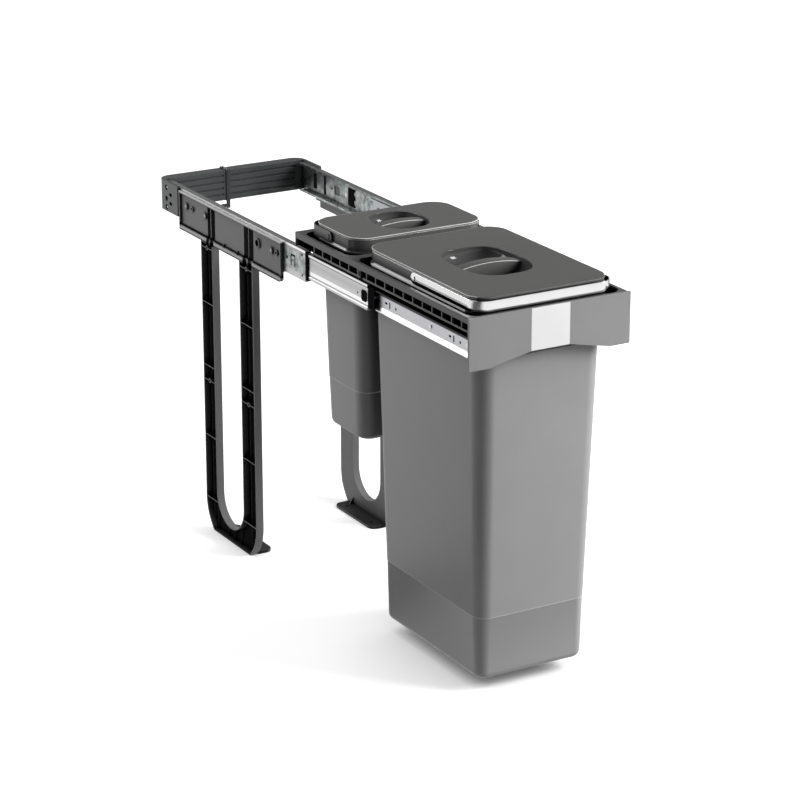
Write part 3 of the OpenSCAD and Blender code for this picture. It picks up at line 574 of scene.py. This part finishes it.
class Builder:
    """Points and faces of a mesh that is built from closed rings."""

    def __init__(self):
        self.v = []
        self.f = []

    def ring(self, pts):
        i = len(self.v)
        self.v += pts
        return list(range(i, i + len(pts)))

    def join(self, a, b):
        n = len(a)
        for k in range(n):
            self.f.append((a[k], a[(k + 1) % n], b[(k + 1) % n], b[k]))

    def cap(self, ring):
        self.f.append(tuple(ring))

    def skin(self, rings, caps=False):
        """Joins rings in a row, and closes both ends if caps is set."""
        ids = [self.ring(r) for r in rings]
        for a, b in zip(ids, ids[1:]):
            self.join(a, b)
        if caps:
            self.cap(reversed(ids[0]))
            self.cap(ids[-1])
        return ids


# Bins

# Half width, front, rear, corner radius and height of a bin's outline at one level
Section = namedtuple("Section", "half front rear r z")
# Least corner radius of an outline that is drawn in
LEAST_R = 3.0

# Radius and steps of the bottom's edge, inset and depth of the recess in the bottom, and height of
# the step near the foot
EDGE_R = 11.0
EDGE_STEPS = 9
STAND_IN = 18.4
STAND_H = 1.4
STEP_H = 1.5
# Rim: how far it stands out beyond the lid, its corner radius, and its edge as (inset, height)
RIM_OUT = 1.3
RIM_R = 31.3
RIM_EDGE = ((0.8, 0.0), (0.25, 0.2), (0.0, 0.8), (0.0, 2.4), (0.25, 3.0), (0.8, 3.2))
# Collar: how far it stands in from the lid's edge, its corner radius and wall
COLLAR_IN = 0.9
COLLAR_R = 29.1
COLLAR_WALL = 2.0
# Painted highlight lines: up from the collar's foot, and down from its top, and how far they stop short
# of the collar's ends
RIM_UP = 2.4
LINE_DOWN = 1.2
RIM_LINE_FRONT = 25
RIM_LINE_REAR = 18
TOP_LINE_REAR = 8


def inset(section, t, z):
    """A section drawn in by t and moved to height z."""
    return rounded(section.half - t, section.front + t, section.rear - t, max(section.r - t, LEAST_R), z)


def bin_profile(base, foot, step, lip, rim, collar):
    """A bin's surface as (section, inset, z): up its outside and its collar, then down its inside."""
    floor_z = base.z
    mid = Section(*((a + b) / 2 for a, b in zip(step, lip)))
    out = [(base, STAND_IN + 1.6, floor_z + STAND_H)]
    out.append((base, STAND_IN + 0.6, floor_z + STAND_H))
    out.append((base, STAND_IN, floor_z))
    for k in range(EDGE_STEPS):
        a = quarter(k, EDGE_STEPS - 1)
        out.append((base, EDGE_R * (1 - math.sin(a)), floor_z + EDGE_R * (1 - math.cos(a))))
    out.append((foot, 0, foot.z - 0.2))
    out += [(step, t, step.z + up) for t, up in ((0.45, 0), (0.1, 0.2), (0, 0.5), (-0.02, STEP_H))]
    out.append((mid, 0, mid.z))
    out += [(lip, 0, LIP_Z - 1.5), (lip, -0.6, LIP_Z)]
    out += [(rim, t, LIP_Z + up) for t, up in RIM_EDGE]
    out += [(collar, t, COLLAR_Z + up) for t, up in ((-0.8, 0), (-0.2, 0.3), (0, 0.9), (0, RIM_UP))]
    out += [(collar, t, COLLAR_TOP - down) for t, down in ((0, LINE_DOWN), (0, 0.3), (0.3, 0), (1.5, 0))]
    out += [(collar, COLLAR_WALL, COLLAR_TOP - 0.5), (collar, COLLAR_WALL, COLLAR_Z + 0.3)]
    out += [(lip, 1.4, COLLAR_Z), (lip, 2, COLLAR_Z - 1)]
    out += [(base, t, floor_z + up) for t, up in ((2, EDGE_R), (4, 5), (8, 2.5))]
    return out


def bin_piece(name, sections, front, rear, rim_from, line_from, look, body):
    """A bin whose lid reaches from front to rear.

    sections are those of its base, foot, step and lip. The painted highlight line at the collar's foot
    starts above rim_from, and the one on the collar's top behind line_from.
    """
    step = sections[2]
    rim = Section(LID_HALF + RIM_OUT, front - RIM_OUT, rear + RIM_OUT, RIM_R, LIP_Z)
    collar = Section(LID_HALF - COLLAR_IN, front + COLLAR_IN, rear - COLLAR_IN, COLLAR_R, COLLAR_Z)
    b = Builder()
    b.skin([inset(*level) for level in bin_profile(*sections, rim, collar)], caps=True)
    o = make(name, b.v, b.f, look, body, node=body, sharp=40)
    looks = more_looks(o, "lid", "rim", "step")
    for p in o.data.polygons:
        x, y, z = centre_of(p)
        if z > LIP_Z - 0.3:
            p.material_index = looks["lid"]
        # painted highlights: light lines at the rim and the collar's foot, and on the collar's top
        foot_highlight = rim_from < z < COLLAR_Z + RIM_UP and abs(x) > LID_HALF - 1
        if foot_highlight and front + RIM_LINE_FRONT < y < rear - RIM_LINE_REAR:
            p.material_index = looks["rim"]
        top_highlight = z > COLLAR_TOP - LINE_DOWN and depth_inside(x, y, *collar[:4]) < 0.4
        if top_highlight and line_from < y < rear - TOP_LINE_REAR:
            p.material_index = looks["rim"]
        # painted highlight: a light line on the step
        if step.z + 0.3 < z < step.z + STEP_H and p.normal.z > -0.5:
            p.material_index = looks["step"]


LARGE_SECTIONS = (
    Section(85.0, -422.1, -163.9, 16, 18.8),
    Section(87.2, -424.7, -161.3, 19, 110.0),
    Section(87.8, -425.3, -160.7, 20, 110.0),
    Section(99.2, -439.0, -147.6, 26, LIP_Z),
)
SMALL_SECTIONS = (
    Section(90.7, -112.2, -3.8, 22, 268.0),
    Section(92.7, -113.8, -2.2, 22, 340.0),
    Section(93.1, -114.2, -1.8, 22, 340.0),
    Section(98.8, -118.7, 2.7, 23, LIP_Z),
)
# Front and rear of each lid
LARGE_LID = (-441, -145)
SMALL_LID = (-120, 8)
# Where the painted highlight line on a collar's top starts. On the small bin that is past its end, so it
# has none.
LARGE_LINE_FROM = -416
SMALL_LINE_FROM = 8

bin_piece("large_bin_shell", LARGE_SECTIONS, *LARGE_LID, rim_from=LIP_Z + 0.1, line_from=LARGE_LINE_FROM,
          look="bin", body="large_bin")
bin_piece("small_bin_shell", SMALL_SECTIONS, *SMALL_LID, rim_from=COLLAR_Z - 0.4, line_from=SMALL_LINE_FROM,
          look="small", body="small_bin")

# Raised borders on the small bin's collar: inner and outer face, reach in y and z, width and chamfer
BORDER_X = (LID_HALF - 1.4, LID_HALF - 0.35)
BORDER_Y = (-101, -59.5)
BORDER_Z = (552.0, 565.6)
BORDER_W = 1.1
BORDER_CUT = 0.2


def border_piece(name, side, body):
    """The raised border on one side of a collar."""
    x_in, x_out = BORDER_X
    w, e = BORDER_W, BORDER_CUT
    loops = []
    for x, d in ((x_in, 0.0), (x_out - e, 0.0), (x_out, e), (x_out, w - e), (x_out - e, w), (x_in, w)):
        y0, y1 = BORDER_Y[0] + d, BORDER_Y[1] - d
        z0, z1 = BORDER_Z[0] + d, BORDER_Z[1] - d
        loop = [point(side * x, y, z) for y, z in ((y0, z0), (y1, z0), (y1, z1), (y0, z1))]
        loops.append(loop if side < 0 else loop[::-1])
    b = Builder()
    ids = b.skin(loops)
    b.join(ids[-1], ids[0])
    make(name, b.v, b.f, "lid", body, sharp=30)


border_piece("small_collar_frame_left", -1, "small_bin")
border_piece("small_collar_frame_right", 1, "small_bin")


# Lids

# Corner radius and steps, inset of the flat top, the heights of the painted highlight lines below and
# above, and how far in they reach
LID_R = 30.0
LID_STEPS = 20
LID_FLAT_IN = 3.0
LID_LINE = 0.9
TOP_LINE = 0.7
LINE_IN = 1.1
# A lid's edge from its underside to its top, as (inset, height)
LID_EDGE = ((4.5, LID_UNDER), (0.3, LID_UNDER), (0.0, LID_UNDER + 0.3), (0.0, LID_UNDER + LID_LINE),
            (0.0, LID_TOP - 0.8), (0.2, LID_TOP - 0.3), (0.6, LID_TOP - 0.1), (1.2, LID_TOP))
# Skirt inside the collar: its lower edge, inset, wall and the chamfer of its lower edge
SKIRT_Z = 557.7
SKIRT_IN = 3.3
SKIRT_WALL = 1.8
SKIRT_CUT = (0.4, 0.5)

# Bowls: points of a ring, the rim's radius, steps of the rim, the inside and the outside, and the wall
BOWL_POINTS = 160
BOWL_ROUND = 1.2
ROUND_STEPS = 5
BOWL_STEPS = 14
OUTSIDE_STEPS = 8
BOWL_WALL = 2.0
# Shares of the width and length that a bowl's floor keeps, the power of the floor's outline, and the
# depth from which the outline changes to that
BOWL_FLOOR_SHARE = (0.5, 0.56)
BOWL_FLOOR_POWER = 2.2
BOWL_FLOOR_FROM = 4.0
# Gloss: how far out and how near to the top it reaches. The rim's left end gets a painted highlight
# instead, from this share of the half width, and down to this depth.
GLOSS_OUT = 1.25
GLOSS_DOWN = 0.25
LIGHT_END = 0.9
LIGHT_DOWN = 1.6

# Grip bars: share of the bowl's width, steps, radius of the top edges, radius of the arch, wall and
# chamfer of the lower edges
BAR_REACH = 0.985
BAR_STEPS = 28
BAR_ROUND = 1.3
BAR_ARCH = 230.0
BAR_WALL = 2.0
BAR_CUT = 0.4


def super_ring(a, b, n, cy, z):
    """A ring with the outline of a superellipse of power n."""
    pts = []
    for i in range(BOWL_POINTS):
        t = 2 * math.pi * i / BOWL_POINTS
        c, s = math.cos(t), math.sin(t)
        x = a * math.copysign(abs(c) ** (2 / n), c)
        y = b * math.copysign(abs(s) ** (2 / n), s)
        pts.append(point(x, cy + y, z))
    return pts


def project_ring(ring, rim, centre):
    """Points of a closed ring in the directions in which a centre sees the points of the rim."""
    out = []
    for v in rim:
        dx, dy = v.x - centre.x, v.y - centre.y
        for p, q in zip(ring, ring[1:] + ring[:1]):
            px, py, qx, qy = p.x - centre.x, p.y - centre.y, q.x - centre.x, q.y - centre.y
            den = dx * (qy - py) - dy * (qx - px)
            if abs(den) < 1e-12:
                continue
            s = (px * (qy - py) - py * (qx - px)) / den
            u = (px * dy - py * dx) / den
            if s > 0 and -1e-6 <= u <= 1 + 1e-6:
                out.append(Vector((centre.x + dx * s, centre.y + dy * s, p.z)))
                break
    return out


def shrink(f):
    """Shares of a bowl's width and length at the share f of its depth."""
    bulge = (1 - f ** 2.3) ** 0.55
    return tuple(share + (1 - share) * bulge for share in BOWL_FLOOR_SHARE)


def bowl_levels(depth):
    """A bowl's inside as (growth, depth, share of its width, share of its length), from the rim down."""
    out = []
    for k in range(1, ROUND_STEPS + 1):
        t = quarter(k, ROUND_STEPS)
        out.append((BOWL_ROUND * (1 - math.sin(t)), BOWL_ROUND * (1 - math.cos(t)), 1.0, 1.0))
    for k in range(1, BOWL_STEPS + 1):
        f = k / BOWL_STEPS
        out.append((0.0, BOWL_ROUND + (depth - BOWL_ROUND) * (1 - (1 - f) ** 1.15), *shrink(f)))
    return out


def lid_mesh(front, rear, cy, a, b, n, depth):
    """A lid's plate with round edges, its bowl with a softened rim, and its skirt."""
    bld = Builder()

    def outline(inward, z):
        return rounded(LID_HALF - inward, front + inward, rear - inward, LID_R - inward, z, LID_STEPS)

    def bowl_ring(grow, z, power=n, wide=1.0, long=1.0):
        return super_ring(a * wide + grow, b * long + grow, power, cy, z)

    # edge and top, with a flat ring round the bowl
    top_flat = outline(LID_FLAT_IN, LID_TOP)
    bld.skin([outline(t, z) for t, z in LID_EDGE] + [top_flat])
    rim = bowl_ring(BOWL_ROUND, LID_TOP)
    inner_edge = project_ring(top_flat, rim, point(0, cy, 0))
    near_rim = bld.ring(bowl_ring(2 * BOWL_ROUND, LID_TOP))
    bld.join(bld.ring(inner_edge), near_rim)
    last = bld.ring(rim)
    bld.join(near_rim, last)
    # inside of the bowl
    for grow, down, wide, long in bowl_levels(depth):
        power = n - (n - BOWL_FLOOR_POWER) * max(0.0, (down - BOWL_FLOOR_FROM) / depth)
        ring = bld.ring(bowl_ring(grow, LID_TOP - down, power, wide, long))
        bld.join(last, ring)
        last = ring
    bld.cap(last)
    # underside: flat, then the outside of the bowl
    last = bld.ring(bowl_ring(BOWL_WALL + 0.5, LID_UNDER))
    bld.join(last, bld.ring([Vector((v.x, v.y, LID_UNDER / 1000.0)) for v in inner_edge]))
    for k in range(1, OUTSIDE_STEPS + 1):
        f = k / OUTSIDE_STEPS
        z = LID_UNDER - 0.5 - (depth - 1.8) * f
        ring = bld.ring(bowl_ring(BOWL_WALL, z, n - (n - BOWL_FLOOR_POWER) * f, *shrink(f)))
        bld.join(ring, last)
        last = ring
    bld.cap(reversed(last))
    # skirt
    t0, t1, top = SKIRT_IN, SKIRT_IN + SKIRT_WALL, LID_UNDER + 0.2
    cut, up = SKIRT_CUT
    skirt = [(t0, top), (t0, SKIRT_Z + up), (t0 + cut, SKIRT_Z)]
    skirt += [(t1 - cut, SKIRT_Z), (t1, SKIRT_Z + up), (t1, top)]
    bld.skin([outline(t, z) for t, z in skirt])
    return bld


def lid_piece(name, front, rear, lit_from, cy, a, b, n, depth, bar_w, body):
    """A lid from front to rear, with a bowl round cy of half sizes a and b, and its grip bar.

    n is the power of the bowl's outline. The painted highlight lines on the edge start behind lit_from.
    """
    bld = lid_mesh(front, rear, cy, a, b, n, depth)
    o = make(name, bld.v, bld.f, "lid", body, node=body, sharp=50)
    looks = more_looks(o, "bowl", "edge", "rim")
    for p in o.data.polygons:
        x, y, z = centre_of(p)
        wide, long = abs(x) / (a + GLOSS_OUT), abs(y - cy) / (b + GLOSS_OUT)
        inside = LID_TOP - depth - 0.5 < z < LID_TOP - GLOSS_DOWN and p.normal.z > -0.2
        if inside and wide ** n + long ** n < 1.0:
            # painted highlight: a light crescent at the left end of the bowl's rim
            left_end_highlight = x < -LIGHT_END * a and z > LID_TOP - LIGHT_DOWN
            p.material_index = looks["edge"] if left_end_highlight else looks["bowl"]
        # painted highlights: light lines along the top of the edge and at its foot
        if depth_inside(x, y, LID_HALF, front, rear, LID_R) < LINE_IN and z > LID_UNDER and y > lit_from:
            if z > LID_TOP - TOP_LINE:
                p.material_index = looks["edge"]
            elif z < LID_UNDER + LID_LINE:
                p.material_index = looks["rim"]
    grip_bar(name + "_grip", cy, a * BAR_REACH, depth, bar_w / 2, body)


def grip_bar(name, cy, reach, depth, half, body):
    """An arched channel-section bar across a bowl, with round top edges and a painted highlight along one
    edge.
    """
    loops = []
    for i in range(BAR_STEPS + 1):
        x = -reach + 2 * reach * i / BAR_STEPS
        top = LID_TOP - (BAR_ARCH - math.sqrt(BAR_ARCH * BAR_ARCH - x * x))
        low = LID_TOP - depth * (0.5 + 0.46 * math.cos(x / reach * 1.25))
        section = []
        for y, start in ((half - BAR_ROUND, 0), (-half + BAR_ROUND, 90)):
            for k in range(6):
                t = quarter(k, 5, start)
                section.append((y + BAR_ROUND * math.cos(t), top - BAR_ROUND + BAR_ROUND * math.sin(t)))
        inner = half - BAR_WALL
        wall = [(half, low + BAR_CUT), (half - BAR_CUT, low), (inner + 0.2, low), (inner, low + BAR_CUT),
                (inner, top - 3.4), (inner - 1.0, top - 2.4)]
        section += [(-y, z) for y, z in wall] + wall[::-1]
        loops.append([point(x, cy + y, z) for y, z in section])
    b = Builder()
    b.skin(loops, caps=True)
    o = make(name, b.v, b.f, "lid", body, sharp=40)
    looks = more_looks(o, "edge")
    for p in o.data.polygons:
        _, y, z = centre_of(p)
        # painted highlight along the front top edge
        front_top_highlight = y - cy < 0.5 - half and z > LID_TOP - 20
        if front_top_highlight and 0.3 < p.normal.z < 0.97 and p.normal.y < 0:
            p.material_index = looks["edge"]


lid_piece("large_lid_shell", *LARGE_LID, lit_from=-430, cy=-293, a=49.7, b=68.6, n=2.85, depth=24.0,
          bar_w=19.0, body="large_lid")
lid_piece("small_lid_shell", *SMALL_LID, lit_from=-121, cy=-57.5, a=38.6, b=45.0, n=2.5, depth=20.0,
          bar_w=16.0, body="small_lid")


# Handles

# Both handles: height of their middle, half height and the least one at their round ends, radius of
# the inner corners, distance of the inner face from the middle plane, and radius of the edges
HANDLE_Z = 558.5
HANDLE_HALF = 8.0
LEAST_HALF = 0.05
HANDLE_R = 22.0
HANDLE_X = 107.2
HANDLE_EDGE = 0.5
# Steps of their round ends, sides, corners and fronts
END_STEPS = 8
SIDE_STEPS = 12
CORNER_STEPS = 20
FRONT_STEPS = 16


def handle_path(pivot, end):
    """A handle's inner face as (half height, x, y, normal's x, normal's y), from left round to right."""
    way = 1 if end > pivot else -1
    side = abs(end - pivot) - HANDLE_R
    corner_x = HANDLE_R - HANDLE_X
    corner_y = pivot + way * side
    left = []
    for k in range(END_STEPS + 1):
        a = quarter(k, END_STEPS)
        half = max(LEAST_HALF, HANDLE_HALF * math.sin(a))
        left.append((half, -HANDLE_X, pivot - way * HANDLE_HALF * math.cos(a), -1, 0))
    for k in range(1, SIDE_STEPS + 1):
        left.append((HANDLE_HALF, -HANDLE_X, pivot + way * side * k / SIDE_STEPS, -1, 0))
    for k in range(1, CORNER_STEPS + 1):
        a = quarter(k, CORNER_STEPS)
        nx, ny = -math.cos(a), way * math.sin(a)
        left.append((HANDLE_HALF, corner_x + HANDLE_R * nx, corner_y + HANDLE_R * ny, nx, ny))
    front = []
    for k in range(1, FRONT_STEPS + 1):
        front.append((HANDLE_HALF, corner_x * (1 - 2 * k / FRONT_STEPS), end, 0, way))
    right = [(half, -x, y, -nx, ny) for half, x, y, nx, ny in reversed(left[:-1])]
    return left + front + right


def handle_section(half, t):
    """A handle's section with round edges, as (height, distance from the inner face)."""
    e = min(HANDLE_EDGE, t * 0.45, half * 0.45)
    upper = [(half * 0.33, t), (half - e, t), (half - e * 0.45, t - e * 0.15), (half - e * 0.1, t - e * 0.5)]
    outer = [(-z, off) for z, off in reversed(upper)] + upper
    inner = [(-z, t - off) for z, off in outer]
    return [(-half, t / 2)] + outer + [(half, t / 2)] + inner


def handle_piece(name, pivot, end, t, body, mat):
    """U-shaped handle of thickness t from its pivots to its end, with rounded ends."""
    loops = []
    for half, x, y, nx, ny in handle_path(pivot, end):
        loops.append([point(x + nx * off, y + ny * off, HANDLE_Z + z) for z, off in handle_section(half, t)])
    b = Builder()
    b.skin(loops, caps=True)
    make(name, b.v, b.f, mat, body, node=body, sharp=60)


handle_piece("large_handle_band", pivot=-284, end=-443.2, t=1.2, body="large_handle", mat="handle")
handle_piece("small_handle_band", pivot=-48.5, end=9.9, t=2.0, body="small_handle", mat="lid")


# Camera, floor and light

def away(azimuth, elevation):
    """The direction from the object towards an azimuth and an elevation."""
    a, e = math.radians(azimuth), math.radians(elevation)
    return Vector((math.sin(a) * math.cos(e), -math.cos(a) * math.cos(e), math.sin(e)))


def turn_back(o, back):
    """Turns a camera or a lamp so that it looks against a direction."""
    o.rotation_mode = "QUATERNION"
    o.rotation_quaternion = back.to_track_quat("Z", "Y")


def seen(nt):
    """1 for rays from the camera, from a reflection or through glass, and the ray's kinds."""
    kinds = nt.nodes.new("ShaderNodeLightPath").outputs
    return largest(nt, kinds["Is Camera Ray"], kinds["Is Glossy Ray"], kinds["Is Transmission Ray"]), kinds


def studio(nt, place):
    """Brightness of the studio that metal shows: pale panels ahead and behind, dim at the sides."""
    flat = vector_node(nt, "MULTIPLY", place, (1, 1, 0))
    unit = vector_node(nt, "NORMALIZE", flat.outputs[0])
    dot = vector_node(nt, "DOT_PRODUCT", unit.outputs[0], tuple(away(PANEL_AZ, 0))).outputs["Value"]
    ahead = remap(nt, dot, 0.0, PANEL_FRONT, *PANEL_EDGE)
    behind = remap(nt, math_node(nt, "MULTIPLY", dot, -1.0), 0.0, PANEL_REAR, *PANEL_EDGE)
    return math_node(nt, "ADD", math_node(nt, "ADD", ahead, behind), PANEL_DIM)


def add_camera():
    data = bpy.data.cameras.new("camera")
    data.sensor_width = SENSOR
    data.lens = SENSOR * FOCAL_PX / IMAGE_PX
    data.clip_end = CAM_FAR
    cam = bpy.data.objects.new("camera", data)
    bpy.context.scene.collection.objects.link(cam)
    back = away(CAM_AZ, CAM_EL)
    cam.location = point(*CAM_AIM) + back * CAM_DIST
    turn_back(cam, back)
    bpy.context.scene.camera = cam


def floor_material():
    """Glows white to the camera, less near the object, with a painted shadow under it, and shows the studio
    in reflections.
    """
    m, nt, shader = new_mat("floor_white")
    nt.nodes.remove(shader)
    visible, kinds = seen(nt)
    place = nt.nodes.new("ShaderNodeNewGeometry").outputs["Position"]
    distance = vector_node(nt, "DISTANCE", place, (0, 0, 0)).outputs["Value"]
    # painted shadow: the glow darkens where the object occludes the floor
    under = nt.nodes.new("ShaderNodeAmbientOcclusion")
    under.samples = UNDER_SAMPLES
    under.inputs["Distance"].default_value = UNDER_REACH
    glow = product(nt, remap(nt, distance, FLOOR_NEAR, 1.0, GLOW_FROM, GLOW_TO),
                   remap(nt, under.outputs["AO"], UNDER_DARK, 1.0, *UNDER_RANGE))
    glow = mix_value(nt, kinds["Is Glossy Ray"], glow, studio(nt, place))
    emission = nt.nodes.new("ShaderNodeEmission")
    nt.links.new(product(nt, visible, glow), emission.inputs["Strength"])
    shade = remap(nt, kinds["Is Diffuse Ray"], FLOOR_COL, FLOOR_BOUNCE, 0.0, 1.0)
    hidden = math_node(nt, "MULTIPLY", kinds["Is Glossy Ray"], FLOOR_COL - FLOOR_MIRRORED)
    diffuse = nt.nodes.new("ShaderNodeBsdfDiffuse")
    nt.links.new(math_node(nt, "SUBTRACT", shade, hidden), diffuse.inputs["Color"])
    add = nt.nodes.new("ShaderNodeAddShader")
    nt.links.new(diffuse.outputs[0], add.inputs[0])
    nt.links.new(emission.outputs[0], add.inputs[1])
    nt.links.new(add.outputs[0], nt.nodes["Material Output"].inputs["Surface"])
    return m


def add_floor():
    h = FLOOR_HALF
    me = bpy.data.meshes.new("floor")
    me.from_pydata([(-h, -h, 0), (h, -h, 0), (h, h, 0), (-h, h, 0)], [], [(0, 1, 2, 3)])
    floor = bpy.data.objects.new("floor", me)
    bpy.context.scene.collection.objects.link(floor)
    floor.data.materials.append(floor_material())


def add_world():
    """White near the horizon and dim at the top, with the studio's panels in reflections."""
    world = bpy.data.worlds.new("world")
    bpy.context.scene.world = world
    world.use_nodes = True
    nt = world.node_tree
    background = nt.nodes["Background"]
    visible, kinds = seen(nt)
    towards = nt.nodes.new("ShaderNodeTexCoord").outputs["Generated"]
    sky = remap(nt, separate(nt, towards)["Z"], 1.0, CEILING, *SKY_FADE)
    not_glossy = math_node(nt, "SUBTRACT", 1.0, kinds["Is Glossy Ray"])
    sky = product(nt, sky, largest(nt, studio(nt, towards), not_glossy))
    nt.links.new(mix_value(nt, visible, AMBIENT, sky), background.inputs["Strength"])
    background.inputs["Color"].default_value = (1, 1, 1, 1)


def area(name, azimuth, elevation, distance, size, power):
    """A lamp in the direction given by azimuth and elevation, pointing at the object."""
    data = bpy.data.lights.new(name, "AREA")
    data.shape = "RECTANGLE"
    data.size, data.size_y = size
    data.energy = power
    o = bpy.data.objects.new(name, data)
    bpy.context.scene.collection.objects.link(o)
    place = away(azimuth, elevation) * distance + Vector((0, 0, LAMP_AIM[2]))
    o.location = place
    turn_back(o, place - Vector(LAMP_AIM))
    o.visible_camera = False
    return o


add_camera()
add_floor()
add_world()
# the key lamp doesn't show in glossy surfaces, and a small lamp shows only there, as a glint
key = area("key", azimuth=50, elevation=28, distance=3.2, size=(1.8, 1.8), power=KEY)
key.visible_glossy = False
area("left", azimuth=-128, elevation=32, distance=1.9, size=(1.0, 1.2), power=LEFT)
glint = area("glint", azimuth=50, elevation=30, distance=3.2, size=(0.8, 0.8), power=GLINT)
glint.visible_diffuse = False
area("top", azimuth=-140, elevation=70, distance=2.6, size=(1.0, 1.0), power=TOP)

bpy.context.scene.view_settings.view_transform = "Standard"
